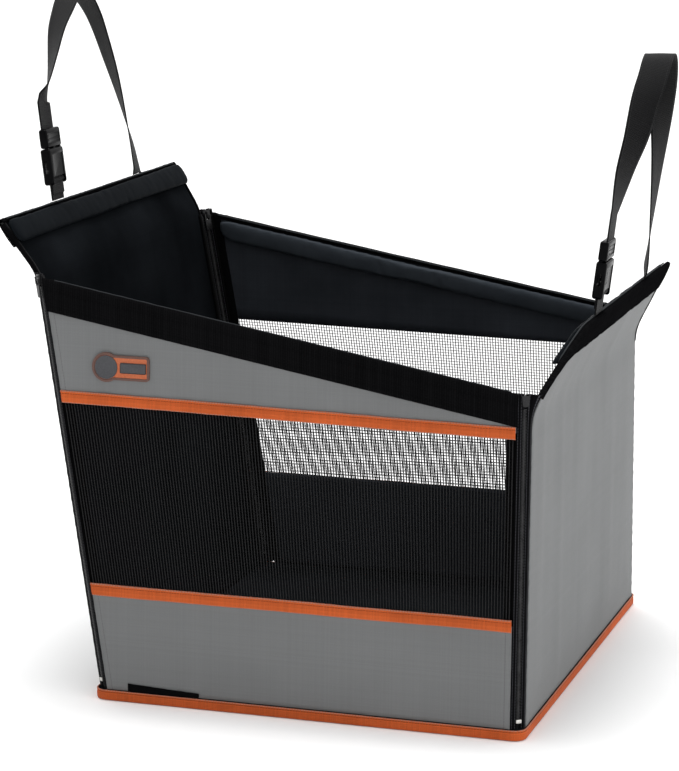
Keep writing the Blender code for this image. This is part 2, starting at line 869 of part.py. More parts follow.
def build_long_webbing(strap):
    start = buckle_start + socket_length + webbing_end_inset
    end_of_straight = buckle_start + socket_length + plug_block_length + plug_travel + plug_run_out
    straight = [straight_leg_point(start), straight_leg_point((start + end_of_straight) / 2),
                straight_leg_point(end_of_straight)]
    curve = [straight[-1]]
    for along, out, up, turn in loop_route_shares:
        curve.append([along * strap_span / 2, out * strap.rise, up * strap.rise, math.radians(turn)])
    curve.append([strap_span / 2, 0.0, -webbing_thickness / 2, 0.0])
    samples = straight[:-1] + smooth_route(curve, webbing_steps)
    centres = [strap.place(*sample[:3]) for sample in samples]
    shape = bmesh.new()
    rows = []
    for i, (centre, sample) in enumerate(zip(centres, samples)):
        sewn = i == len(centres) - 1
        run = Vector((0.0, 0.0, -1.0)) if sewn else (centres[i + 1] - centres[max(i - 1, 0)]).normalized()
        turn = sample[3]
        width = Vector((strap.side * math.sin(turn), math.cos(turn), 0.0))
        width = (width - run * width.dot(run)).normalized()
        across = run.cross(width).normalized()
        half_width = width * (webbing_width / 2)
        half_depth = across * (webbing_thickness / 2)
        rows.append([shape.verts.new(centre + a * half_width + b * half_depth)
                     for a, b in ((-1, -1), (1, -1), (1, 1), (-1, 1))])
    for before, after in zip(rows, rows[1:]):
        for k, j in ((1, 2), (3, 0)):
            shape.faces.new((before[k], before[j], after[j], after[k]))
        for k, j in ((0, 1), (3, 2)):
            shape.faces.new((before[k], before[j], after[j]))
            shape.faces.new((before[k], after[j], after[k]))
    shape.faces.new(rows[0])
    shape.faces.new(rows[-1])
    strap.add("webbing", shape, black_webbing())


def leg_profile(a, b, c):
    """Carries a profile in (out, up) along the flap's edge."""
    return Vector((c, a, b))


def loop_radii():
    """Corner radii of the webbing's loop, whose flats clear the socket's square bar."""
    flat = math.cos(math.pi / loop_hole_sides)
    hole = (socket_bar_half * math.sqrt(2) + gap) / flat
    return hole, hole + webbing_thickness / flat


def build_short_webbing(strap):
    """The sewn tail below the buckle: one layer that opens into a loop round the socket's bar."""
    bar = buckle_start + socket_bar_height
    hole, ring = loop_radii()
    half = webbing_thickness / 2
    outer = []
    inner = []
    for i in range(loop_hole_sides):
        angle = -math.pi / 2 + 2 * math.pi * (i + 0.5) / loop_hole_sides
        outer.append((ring * math.cos(angle), bar + ring * math.sin(angle)))
        inner.append((hole * math.cos(angle), bar + hole * math.sin(angle)))
    shape = ring_prism(outer, inner, -webbing_width / 2, webbing_width / 2, leg_profile)
    tail = strap.add("short_webbing", shape, black_webbing(), strap.leg)
    neck = bar - (hole + ring) / 2
    strip = prism(rectangle(-half, half, -half, neck), -webbing_width / 2, webbing_width / 2, leg_profile)
    combine(tail, strip, "UNION")


def build_socket(strap):
    low = buckle_start
    high = low + socket_length
    half_x = buckle_width / 2
    half_y = socket_thickness / 2
    outline = chamfered(-half_x, half_x, -half_y, half_y, half_y / 3)
    bar_height = low + socket_bar_height
    socket = strap.add("buckle_socket", prism(outline, low, high), black_plastic(), strap.leg)
    pocket_x = half_x - socket_wall
    pocket_y = half_y - socket_wall
    pocket = block((-pocket_x, pocket_x), (-pocket_y, pocket_y), (high - socket_pocket_depth, high + overrun))
    combine(socket, pocket, "DIFFERENCE")
    side_windows = block((-half_x - overrun, half_x + overrun), (-pocket_y / 2, pocket_y / 2),
                         (high - socket_pocket_depth, high - socket_pocket_depth + socket_window_length))
    combine(socket, side_windows, "DIFFERENCE")
    slot_x = webbing_width / 2 + plug_slot_play
    slot_top = bar_height + loop_radii()[1] + gap
    for side in (-1, 1):
        across = sorted((side * socket_bar_half, side * (half_y + overrun)))
        combine(socket, block((-slot_x, slot_x), across, (low - overrun, slot_top)), "DIFFERENCE")
    for heights in ((bar_height + socket_bar_half, slot_top), (low - overrun, bar_height - socket_bar_half)):
        combine(socket, block((-slot_x, slot_x), (-half_y, half_y), heights), "DIFFERENCE")


def build_plug(strap):
    low = buckle_start + socket_length + gap
    high = low + plug_block_length
    half_x = buckle_width / 2
    half_y = plug_block_thickness / 2
    outline = chamfered(-half_x, half_x, -half_y, half_y, half_y / 3)
    plug = strap.add("buckle_plug", prism(outline, low, high), black_plastic(), strap.leg)
    slot_x = webbing_width / 2 + plug_slot_play
    slot_y = (plug_slot_offset - plug_slot / 2, plug_slot_offset + plug_slot / 2)
    combine(plug, block((-slot_x, slot_x), slot_y, (low - overrun, high + overrun)), "DIFFERENCE")
    prong_y = (socket_wall + gap - socket_thickness / 2, slot_y[0] - gap)
    arm_low = low - plug_arm_length
    arm_outer = half_x - socket_wall - gap
    for side in (-1, 1):
        arm_x = sorted((side * arm_outer, side * (arm_outer - plug_arm_width)))
        combine(plug, block(arm_x, prong_y, (arm_low, low + plug_overlap)), "UNION")
    half_guide = plug_guide_width / 2
    combine(plug, block((-half_guide, half_guide), prong_y, (arm_low, low + plug_overlap)), "UNION")


def build_strap(strap):
    build_long_webbing(strap)
    build_short_webbing(strap)
    build_socket(strap)
    build_plug(strap)


# Assembly

def make_walls():
    high_rate = math.tan(high_wall_lean) * math.cos(long_wall_lean)
    low_rate = math.tan(low_wall_lean) * math.cos(long_wall_lean)
    high_end_rate = math.tan(long_wall_lean) * math.cos(high_wall_lean)
    low_end_rate = math.tan(long_wall_lean) * math.cos(low_wall_lean)
    half_x = base_width / 2
    half_y = base_depth / 2
    return {
        "near": Wall("near_wall", 0.0, long_wall_lean, half_y, half_x, high_rate, low_rate),
        "far": Wall("far_wall", math.pi, long_wall_lean, half_y, half_x, low_rate, high_rate),
        "high": Wall("high_wall", -math.pi / 2, high_wall_lean, half_x, half_y, high_end_rate, high_end_rate),
        "low": Wall("low_wall", math.pi / 2, low_wall_lean, half_x, half_y, low_end_rate, low_end_rate),
    }


def build():
    clear_scene()
    walls = make_walls()
    build_base()
    build_long_wall(walls["near"], "near", -1)
    build_long_wall(walls["far"], "far", 1)
    build_patch(walls["near"])
    build_tab(walls["near"])
    half_y = base_depth / 2
    high_reach = half_y - high_flap_setback
    high_end = EndWall(walls["high"], high_corner, high_flap_length, 1, high_reach, high_reach, 1)
    low_end = EndWall(walls["low"], low_flap_kink, low_flap_length, -1,
                      half_y - low_flap_near_setback, half_y - low_flap_far_setback, 2)
    build_end_wall(high_end, "high_end")
    build_end_wall(low_end, "low_end")
    for x_side, end_key, lean, top in ((-1, "high", high_wall_lean, high_corner),
                                       (1, "low", low_wall_lean, low_corner)):
        for y_side, long_key in ((-1, "near"), (1, "far")):
            corner = Corner(x_side, y_side, lean, top)
            outside_pull = x_side < 0 and y_side < 0
            build_zip(corner, f"{long_key}_{end_key}_zip", walls[long_key], walls[end_key], not outside_pull)
    build_strap(Strap("high_strap", -1, high_end, high_strap_rise))
    build_strap(Strap("low_strap", 1, low_end, low_strap_rise))


build()
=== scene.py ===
"""Dog car seat: a zip-together fabric box with mesh windows and two hanging straps.

Metres, +Z up. The origin is the middle of the underside. X runs from the high end (left)
to the low end (right), and Y from the near long wall to the far one.
"""
import math

import bmesh
import bpy
from mathutils import Matrix, Vector, noise


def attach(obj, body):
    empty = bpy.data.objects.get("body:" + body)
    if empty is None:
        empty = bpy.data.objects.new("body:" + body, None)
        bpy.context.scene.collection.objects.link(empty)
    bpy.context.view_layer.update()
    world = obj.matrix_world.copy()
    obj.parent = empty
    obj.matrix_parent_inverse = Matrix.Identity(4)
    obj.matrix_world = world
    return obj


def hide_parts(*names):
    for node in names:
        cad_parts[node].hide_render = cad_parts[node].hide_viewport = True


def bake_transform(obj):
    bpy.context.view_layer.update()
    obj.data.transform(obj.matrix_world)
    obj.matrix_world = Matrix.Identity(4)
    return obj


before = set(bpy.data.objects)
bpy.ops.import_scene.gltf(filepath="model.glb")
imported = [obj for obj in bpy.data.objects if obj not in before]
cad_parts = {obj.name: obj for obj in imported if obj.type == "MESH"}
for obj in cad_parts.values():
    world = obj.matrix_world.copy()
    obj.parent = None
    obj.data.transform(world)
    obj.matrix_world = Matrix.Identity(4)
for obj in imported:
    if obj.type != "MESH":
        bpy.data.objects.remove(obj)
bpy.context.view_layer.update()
scene = bpy.context.scene


# Camera
# A long lens a little above the rims looks at the near long wall from its low end's side,
# with the straps' tops at the upper edge of the picture.

picture_height = 771
focal_pixels = 2843.0
film_side = 36.0
camera_place = Vector((0.92795, -3.04614, 0.97013))
camera_target = Vector((-0.0514, 0.0059, 0.3073))

lens = bpy.data.cameras.new("camera")
lens.sensor_width = film_side
lens.lens = film_side * focal_pixels / picture_height
lens.dof.use_dof = False
camera = bpy.data.objects.new("camera", lens)
scene.collection.objects.link(camera)
camera.location = camera_place
camera.rotation_euler = (camera_target - camera_place).to_track_quat("-Z", "Y").to_euler()
scene.camera = camera


# Floor and light
# The seat stands on a plain white studio floor that runs out of sight and keeps its soft shadow.
# A broad soft lamp from the low end's side and a weaker one from the left light it evenly, and
# a lamp high up behind the high end lays the shadow in front of the seat and beside it.

scene.view_settings.view_transform = "Standard"
floor_reach = 40.0
floor_drop = 0.0003
floor_white = (0.94, 0.94, 0.94, 1.0)
floor_lift = 0.08
sky_white = (1.0, 1.0, 1.0, 1.0)
sky_strength = 0.325

bpy.ops.object.select_all(action="DESELECT")
bpy.ops.mesh.primitive_plane_add(size=floor_reach, location=(0.0, 0.0, -floor_drop))
studio_floor = bpy.context.object
studio_floor.name = "studio_floor"
studio_floor.data.transform(Matrix.Translation(studio_floor.location))
studio_floor.location = (0.0, 0.0, 0.0)


def feed(node, values):
    """Sets a node's inputs, each to a plain value or to another node's output."""
    for name, value in values.items():
        if isinstance(value, bpy.types.NodeSocket):
            node.id_data.links.new(value, node.inputs[name])
        else:
            node.inputs[name].default_value = value


def add_node(tree, kind, values=None, **settings):
    """A new node with its settings made and its inputs fed."""
    node = tree.nodes.new("ShaderNode" + kind)
    for name, value in settings.items():
        setattr(node, name, value)
    feed(node, values or {})
    return node


def math_node(tree, operation, *values):
    """The result of one sum on plain values and other nodes' outputs."""
    return add_node(tree, "Math", dict(enumerate(values)), operation=operation).outputs[0]


def new_finish(name, values):
    """A new material with these inputs to its shader."""
    material = bpy.data.materials.new(name)
    material.use_nodes = True
    feed(material.node_tree.nodes["Principled BSDF"], values)
    return material


def seen_rays(tree):
    """1 for a ray straight from the eye, off something glossy or through something clear."""
    path = add_node(tree, "LightPath")
    either = path.outputs["Is Camera Ray"]
    for ray in ("Is Glossy Ray", "Is Transmission Ray"):
        either = math_node(tree, "MAXIMUM", either, path.outputs[ray])
    return either


floor_paint = new_finish("studio_floor_paint", {"Base Color": floor_white, "Roughness": 0.9,
                                               "Specular IOR Level": 0.0, "Emission Color": sky_white})
tree = floor_paint.node_tree
lift = math_node(tree, "MULTIPLY", seen_rays(tree), floor_lift)
feed(tree.nodes["Principled BSDF"], {"Emission Strength": lift})
studio_floor.data.materials.append(floor_paint)

sky = bpy.data.worlds.new("studio_sky")
scene.world = sky
sky.use_nodes = True
tree = sky.node_tree
lit = tree.nodes["Background"]
feed(lit, {"Color": sky_white, "Strength": sky_strength})
shown = add_node(tree, "Background", {"Color": sky_white, "Strength": 1.0})
mixed = add_node(tree, "MixShader", {0: seen_rays(tree), 1: lit.outputs[0], 2: shown.outputs[0]})
feed(tree.nodes["World Output"], {"Surface": mixed.outputs[0]})


def soft_lamp(name, place, spread, strength):
    """A broad far-off lamp that faces the seat, so that the floor is lit evenly."""
    light = bpy.data.lights.new(name, "SUN")
    light.angle = math.radians(spread)
    light.energy = strength
    lamp = bpy.data.objects.new(name, light)
    scene.collection.objects.link(lamp)
    lamp.location = place
    lamp.rotation_euler = Vector(place).to_track_quat("Z", "Y").to_euler()


soft_lamp("low_end_lamp", (1.00, 0.22, 0.85), 110.0, 1.28)
soft_lamp("left_lamp", (-0.30, -0.80, 1.00), 90.0, 0.15)
soft_lamp("back_lamp", (-0.20, 0.24, 1.60), 30.0, 2.50)


# Base
# A stiff board between a grey cover and a black lining, all three cut to one rounded rectangle.
# An orange woven tape is folded over the edge all round and stitched through.

base_half_x = 0.2415
base_half_y = 0.2795
base_corner_radius = 0.0120
base_gap = 0.0003
cloth_thickness = 0.0014
lining_level = 0.0118
lining_swell = 0.0016
lining_margins = (0.006, 0.05)
binding_thickness = 0.0010
merge_distance = 0.00001
stitch_half_length = 0.00155
stitch_ends = (0.00015, 0.00055)
stitch_sides = (0.0005, 0.0002)
cloth_pitch = (0.0009, 0.0009)
cloth_relief = 0.00008
satin_pitch = (0.0006, 0.0006)
satin_relief = 0.00003
tape_pitch = (0.0011, 0.0007)
tape_relief = 0.00014
board_relief = 0.0003
seam_stitch_rows = (0.0062,)
binding_stitch_rows = (0.0096,)
# Paler dashed rows along the binding's top fold.
binding_pale_edge_rows = (0.0112, 0.0118)
grey_thread = (0.196, 0.201, 0.203)
orange_thread = (0.670, 0.128, 0.031)
pale_edge_orange = (0.520, 0.220, 0.150)
black_satin = (0.0085, 0.0098, 0.0115)
# The far wall's satin is the same black satin painted several times paler: painted light on the linings that
# face the front.
far_satin_painted_lit = (0.0500, 0.0555, 0.0665)


def ease(value, start, end):
    """Goes smoothly from 0 at start to 1 at end."""
    share = min(max((value - start) / (end - start), 0.0), 1.0)
    return share * share * (3.0 - 2.0 * share)


def ripple_at(*place):
    """Smooth noise between -1 and 1 at a place given by three numbers."""
    return noise.noise(Vector(place))


def new_pattern(name, feeds, results):
    """A new node group with its input and output nodes. Feeds gives each input's kind."""
    group = bpy.data.node_groups.new(name, "ShaderNodeTree")
    for socket, kind in feeds.items():
        group.interface.new_socket(socket, in_out="INPUT", socket_type="NodeSocket" + kind)
    for socket in results:
        group.interface.new_socket(socket, in_out="OUTPUT", socket_type="NodeSocketFloat")
    return group, group.nodes.new("NodeGroupInput"), group.nodes.new("NodeGroupOutput")


def weave_pattern():
    """Threads over and under each other: a height, and a tone for each thread."""
    group, start, end = new_pattern("crossing_threads", {"Place": "Vector"}, ("Height", "Tone"))
    apart = add_node(group, "SeparateXYZ", {0: start.outputs["Place"]})
    arches = []
    tones = []
    steps = []
    for axis in (0, 1):
        share = math_node(group, "FRACT", apart.outputs[axis])
        arches.append(math_node(group, "SINE", math_node(group, "MULTIPLY", share, math.pi)))
        steps.append(math_node(group, "FLOOR", apart.outputs[axis]))
        own_tone = add_node(group, "TexWhiteNoise", noise_dimensions="1D")
        feed(own_tone, {"W": math_node(group, "ADD", steps[axis], 17.3 * (axis + 1))})
        tones.append(own_tone.outputs["Value"])
    parity = math_node(group, "MODULO", math_node(group, "ABSOLUTE", math_node(group, "ADD", *steps)), 2.0)
    crowns = []
    for first, second in ((0, 1), (1, 0)):
        dip = math_node(group, "MULTIPLY_ADD", arches[second], 0.5, 0.5)
        crowns.append(math_node(group, "MULTIPLY", arches[first], dip))
    for values, result in ((crowns, "Height"), (tones, "Tone")):
        upper = add_node(group, "Mix", {"Factor": parity, 2: values[0], 3: values[1]})
        feed(end, {result: upper.outputs[0]})
    return group


def stitch_pattern():
    """A row of stitches at one height across a strip: 1 on the thread, 0 between."""
    group, start, end = new_pattern("stitch_row", {"Place": "Vector", "Row": "Float"}, ("Thread",))
    apart = add_node(group, "SeparateXYZ", {0: start.outputs["Place"]})
    dash = math_node(group, "PINGPONG", apart.outputs[0], stitch_half_length)
    away = math_node(group, "SUBTRACT", apart.outputs[1], start.outputs["Row"])
    masks = []
    for value, limits in ((dash, stitch_ends), (math_node(group, "ABSOLUTE", away), stitch_sides)):
        mask = add_node(group, "MapRange", {"Value": value, "From Min": limits[0], "From Max": limits[1]},
                        interpolation_type="SMOOTHSTEP")
        masks.append(mask.outputs["Result"])
    feed(end, {"Thread": math_node(group, "MULTIPLY", *masks)})
    return group


def grain_pattern():
    """Cloudy grain between 0 and 1, coarser or finer as its scale says."""
    group, start, end = new_pattern("cloudy_grain", {"Place": "Vector", "Scale": "Float", "Detail": "Float",
                                                     "Roughness": "Float"}, ("Grain",))
    cloud = add_node(group, "TexNoise", {"Vector": start.outputs["Place"], "Scale": start.outputs["Scale"],
                                         "Detail": start.outputs["Detail"],
                                         "Roughness": start.outputs["Roughness"]})
    feed(end, {"Grain": cloud.outputs["Fac"]})
    return group


crossing_threads = weave_pattern()
stitch_row = stitch_pattern()
cloudy_grain = grain_pattern()


def grain_in(tree, scale, detail, roughness=0.5):
    """Grain that is fixed in the piece."""
    place = add_node(tree, "TexCoord")
    grain = add_node(tree, "Group", node_tree=cloudy_grain)
    feed(grain, {"Place": place.outputs["Object"], "Scale": scale, "Detail": detail, "Roughness": roughness})
    return grain.outputs["Grain"]


def between_colours(tree, value, dark, pale, limits=(0.0, 1.0)):
    """Goes from the dark colour to the pale one while the value goes from limit to limit."""
    ramp = add_node(tree, "ValToRGB", {"Fac": value})
    for element, limit, colour in zip(ramp.color_ramp.elements, limits, (dark, pale)):
        element.position = limit
        element.color = (*colour, 1.0)
    return ramp.outputs["Color"]


def between_values(tree, value, low, high, limits=(0.0, 1.0)):
    """Goes from low to high while the value goes from limit to limit."""
    mapped = add_node(tree, "MapRange", {"Value": value, "From Min": limits[0], "From Max": limits[1],
                                         "To Min": low, "To Max": high})
    return mapped.outputs["Result"]


def add_relief(material, height, depth):
    """Raises the material's surface by depth where the height is 1."""
    bump = add_node(material.node_tree, "Bump", {"Distance": depth, "Height": height})
    feed(material.node_tree.nodes["Principled BSDF"], {"Normal": bump.outputs[0]})


def woven_finish(name, thread, pitch, depth, roughness, sheen=0.0, tone_and_crown_light_contrast=0.25, gloss=0.0, patches=0.10,
                 stitches=(), stitch_tone=0.5, stitch_map="weave", pale_edge_rows=(), pale_edge_thread=None):
    """Woven cloth on the piece's weave coordinates, which run in metres. Pitch is the thread's
    spacing along and across, depth the height of its relief, stitches the rows sewn through it
    and pale edge rows those with paler dashes in the given thread colour."""
    material = new_finish(name, {"Roughness": roughness, "Sheen Weight": sheen, "Sheen Roughness": 0.45,
                                 "Specular IOR Level": gloss})
    tree = material.node_tree
    laid = add_node(tree, "UVMap", uv_map="weave")
    spaced = add_node(tree, "Mapping", {"Vector": laid.outputs[0],
                                        "Scale": (1 / pitch[0], 1 / pitch[1], 1.0)})
    weave = add_node(tree, "Group", node_tree=crossing_threads)
    feed(weave, {"Place": spaced.outputs[0]})
    height = weave.outputs["Height"]
    # Each thread's colour runs from dark to pale with its own random tone and with its height, so its crowns
    # carry a painted highlight and the gaps between threads painted shade.
    raised = math_node(tree, "MULTIPLY", height, 0.75)
    lit = math_node(tree, "MULTIPLY_ADD", weave.outputs["Tone"], 0.45, raised)
    dim = [channel * (1.0 - tone_and_crown_light_contrast) for channel in thread]
    bright = [min(channel * (1.0 + 0.5 * tone_and_crown_light_contrast), 1.0) for channel in thread]
    shade = between_values(tree, grain_in(tree, 9.0, 4.0), 1.0 - patches, 1.0 + 0.4 * patches, (0.3, 0.7))
    toned = add_node(tree, "VectorMath", {0: between_colours(tree, lit, dim, bright), "Scale": shade},
                     operation="SCALE")
    colour = toned.outputs[0]
    sewn_on = add_node(tree, "UVMap", uv_map=stitch_map)
    rows = [(row, [channel * stitch_tone for channel in thread]) for row in stitches]
    rows += [(row, pale_edge_thread) for row in pale_edge_rows]
    for row, row_thread in rows:
        sewn = add_node(tree, "Group", node_tree=stitch_row)
        feed(sewn, {"Place": sewn_on.outputs[0], "Row": row})
        over = add_node(tree, "Mix", data_type="RGBA")
        feed(over, {"Factor": sewn.outputs["Thread"], 6: colour, 7: (*row_thread, 1.0)})
        colour = over.outputs[2]
        height = math_node(tree, "MULTIPLY_ADD", sewn.outputs["Thread"], 1.6, height)
    feed(tree.nodes["Principled BSDF"], {"Base Color": colour})
    add_relief(material, height, depth)
    return material


def grained_finish(name, dark, pale, grain, depth, roughness, gloss, limits=(0.0, 1.0), fine=None,
                   metallic=0.0):
    """A finish whose tone follows a grain, given by its scale and detail. So does its relief,
    unless that has a finer grain, and its roughness, where that is a range."""
    material = new_finish(name, {"Specular IOR Level": gloss, "Metallic": metallic})
    tree = material.node_tree
    cloud = grain_in(tree, *grain)
    if isinstance(roughness, tuple):
        roughness = between_values(tree, cloud, *roughness)
    colour = between_colours(tree, cloud, dark, pale, limits)
    feed(tree.nodes["Principled BSDF"], {"Base Color": colour, "Roughness": roughness})
    add_relief(material, grain_in(tree, *fine) if fine else cloud, depth)
    return material


def new_piece(name, shape, *finishes):
    """A named piece with the shape that has been built up."""
    mesh = bpy.data.meshes.new(name)
    shape.to_mesh(mesh)
    shape.free()
    for finish in finishes:
        mesh.materials.append(finish)
    piece = bpy.data.objects.new(name, mesh)
    scene.collection.objects.link(piece)
    return piece


def select_only(piece):
    """Selects one piece and nothing else."""
    bpy.ops.object.select_all(action="DESELECT")
    piece.select_set(True)
    bpy.context.view_layer.objects.active = piece


def modify(piece, kind, **settings):
    """Puts a modifier on the piece and applies it."""
    select_only(piece)
    modifier = piece.modifiers.new("shaping", kind)
    for name, value in settings.items():
        setattr(modifier, name, value)
    bpy.ops.object.modifier_apply(modifier=modifier.name)


def merge_doubles(piece, distance):
    """Merges the piece's points that lie closer together than the distance."""
    select_only(piece)
    bpy.ops.object.mode_set(mode="EDIT")
    bpy.ops.mesh.select_all(action="SELECT")
    bpy.ops.mesh.remove_doubles(threshold=distance)
    bpy.ops.object.mode_set(mode="OBJECT")


def cloth_sheet(name, columns, rows, place, thickness, material):
    """A layer of cloth on a grid. Place gives a point and its weave coordinates in metres for the
    shares along and up, on the face that shows, and may add the run along the nearest seam with
    the distance from it. The thickness goes in behind the face."""
    shape = bmesh.new()
    weave = shape.loops.layers.uv.new("weave")
    seam = shape.loops.layers.uv.new("seam")
    spots = [[place(i / columns, j / rows) for i in range(columns + 1)] for j in range(rows + 1)]
    grid = [[shape.verts.new(spot[0]) for spot in row] for row in spots]
    for j in range(rows):
        for i in range(columns):
            around = ((j, i), (j, i + 1), (j + 1, i + 1), (j + 1, i))
            face = shape.faces.new([grid[b][a] for b, a in around])
            face.smooth = True
            for loop, (b, a) in zip(face.loops, around):
                loop[weave].uv = spots[b][a][1]
                loop[seam].uv = spots[b][a][-1]
    piece = new_piece(name, shape, material)
    modify(piece, "SOLIDIFY", thickness=thickness, offset=-1.0, use_even_offset=False)
    return piece


def rounded_point(a, b, half_x, half_y, radius):
    """Maps a square, -1 to 1 both ways, onto a rectangle with round corners."""
    x = a * half_x
    y = b * half_y
    over_x = (abs(x) - (half_x - radius)) / radius
    over_y = (abs(y) - (half_y - radius)) / radius
    if over_x > 0 and over_y > 0:
        x = math.copysign(half_x - radius + radius * over_x * math.sqrt(1 - over_y * over_y / 2), x)
        y = math.copysign(half_y - radius + radius * over_y * math.sqrt(1 - over_x * over_x / 2), y)
    return x, y


def edge_shares(count, margin):
    """Shares from -1 to 1 that are closer together near both ends."""
    inner = [-margin + 2 * margin * i / count for i in range(count + 1)]
    outer = [margin + (1 - margin) * i / 5 for i in range(1, 6)]
    return [-share for share in reversed(outer)] + inner + outer


base_columns = edge_shares(44, 0.95)
base_rows = edge_shares(50, 0.957)


def lining_rest(x, y):
    """The floor lining lies loose on the board: low soft swells that fade out at the edge."""
    edge = min(base_half_x - abs(x), base_half_y - abs(y))
    swell = ripple_at(x * 11.0, y * 8.0, 3.1) + 0.5 * ripple_at(x * 27.0, y * 21.0, 7.7)
    return lining_swell * max(swell + 0.15, 0.0) * ease(edge, *lining_margins)


def base_place(level, facing, relief):
    half_x = base_half_x - base_gap
    half_y = base_half_y - base_gap

    def place(along, up):
        a = base_columns[round(along * (len(base_columns) - 1))] * facing
        b = base_rows[round(up * (len(base_rows) - 1))]
        x, y = rounded_point(a, b, half_x, half_y, base_corner_radius)
        return Vector((x, y, level + relief(x, y))), (x, y)

    return place


grey_cloth_finish = woven_finish("grey_woven_cloth", grey_thread, cloth_pitch, cloth_relief, 0.78, 0.05,
                                 0.16, 0.35, 0.06, seam_stitch_rows, 0.62, "seam")
# On both linings the broad soft patches of paler tone are painted sheen on the satin, laid at random.
lining_cloth_finish = woven_finish("black_lining_cloth", black_satin, satin_pitch, satin_relief, 0.42,
                                   patches=0.50)
# The far wall's lining is a paler copy of the black lining: painted light.
far_lining_painted_lit_finish = woven_finish("black_far_lining_painted_lit", far_satin_painted_lit, satin_pitch, satin_relief, 0.42,
                                 gloss=0.01, patches=0.35)


def orange_finish(name, stitches, pale_edge_rows):
    """Coarse orange tape with its stitching and paler rows along its folded edges."""
    return woven_finish(name, orange_thread, tape_pitch, tape_relief, 0.72, 0.03, 0.42, 0.12, 0.20, stitches,
                        0.38, pale_edge_rows=pale_edge_rows, pale_edge_thread=pale_edge_orange)


orange_tape_finish = orange_finish("orange_woven_tape", binding_stitch_rows, binding_pale_edge_rows)

columns = len(base_columns) - 1
rows = len(base_rows) - 1
base_cloth = cloth_sheet("base_cover_cloth", columns, rows, base_place(0.0, -1, lambda x, y: 0.0),
                         cloth_thickness, grey_cloth_finish)
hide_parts("base_cover")
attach(base_cloth, "base")

floor_cloth = cloth_sheet("floor_lining_cloth", columns, rows, base_place(lining_level, 1, lining_rest),
                          cloth_thickness, lining_cloth_finish)
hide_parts("floor_lining")
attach(floor_cloth, "base")

board_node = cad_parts["base_board"]
board_node.data.materials.clear()
board_node.data.materials.append(grained_finish("pressed_board", (0.060, 0.048, 0.036), (0.190, 0.160, 0.125),
                                                (260.0, 6.0), board_relief, 0.85, 0.5))

# The binding's cross-section as (height, outward reach), up the side and over the top fold
binding_profile = (
    (0.0002, 0.0009),
    (0.0006, 0.0014),
    (0.0018, 0.0019),
    (0.0050, 0.0021),
    (0.0085, 0.0019),
    (0.0097, 0.0016),
    (0.0103, 0.0020),
    (0.0111, 0.0023),
    (0.0116, 0.0018),
    (0.0118, 0.0009),
)
binding_steps = 560


def binding_line(share):
    """A point and the outward direction at a share of the way round the base's edge."""
    straight_x = 2 * (base_half_x - base_corner_radius)
    straight_y = 2 * (base_half_y - base_corner_radius)
    bend = math.pi / 2 * base_corner_radius
    total = 2 * (straight_x + straight_y) + 4 * bend
    left = (share % 1.0) * total
    here = Vector((-straight_x / 2, -base_half_y))
    heading = Vector((1.0, 0.0))
    for run in (straight_x, straight_y, straight_x, straight_y):
        out = Vector((heading.y, -heading.x))
        if left <= run:
            return here + heading * left, out, (share % 1.0) * total
        left -= run
        here = here + heading * run
        centre = here - out * base_corner_radius
        if left <= bend:
            turn = left / base_corner_radius
            direction = out * math.cos(turn) + heading * math.sin(turn)
            return centre + direction * base_corner_radius, direction, (share % 1.0) * total
        left -= bend
        here = centre + heading * base_corner_radius
        heading = -out
    return here, Vector((0.0, -1.0)), 0.0


def binding_place(along, up):
    spot, out, length = binding_line(along)
    index = round(up * (len(binding_profile) - 1))
    height, reach = binding_profile[index]
    ripple = ripple_at(spot.x * 55.0, spot.y * 55.0, 1.5)
    slow = ripple_at(spot.x * 17.0, spot.y * 17.0, 4.5)
    reach += (0.00035 * ripple + 0.00030 * slow) * ease(height, 0.0, 0.004)
    height += (0.00015 * ripple + 0.00025 * slow) * ease(height, 0.004, 0.011)
    point = spot + out * max(reach, 0.0006)
    return Vector((point.x, point.y, max(height, 0.0001))), (length, height)


base_tape = cloth_sheet("base_edge_tape", binding_steps, len(binding_profile) - 1, binding_place,
                        binding_thickness, orange_tape_finish)
merge_doubles(base_tape, merge_distance)
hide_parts("base_binding")
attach(base_tape, "base")


# Long walls
# Each is two panels of grey woven cloth with a black satin lining behind, sewn into the corner
# tapes at both ends, with a mesh window between them. The walls fold about the base's edge.

hinge_height = 0.0123
corner_leg = 0.0140
cloth_gap = 0.0003
lining_back = 0.0031
long_lean = math.radians(-2.0)
cloth_column = 0.0045
cloth_row = 0.0055
swell_margin = 0.045
pucker_rate = 430.0
pucker_height = 0.00042
pucker_reach = (0.024, 0.003)
high_lean = math.radians(9.2)
high_corner = 0.4650
low_corner = 0.3670
window_low = 0.1235
window_high_at_low_end = 0.3280
window_high_at_high_end = 0.3355


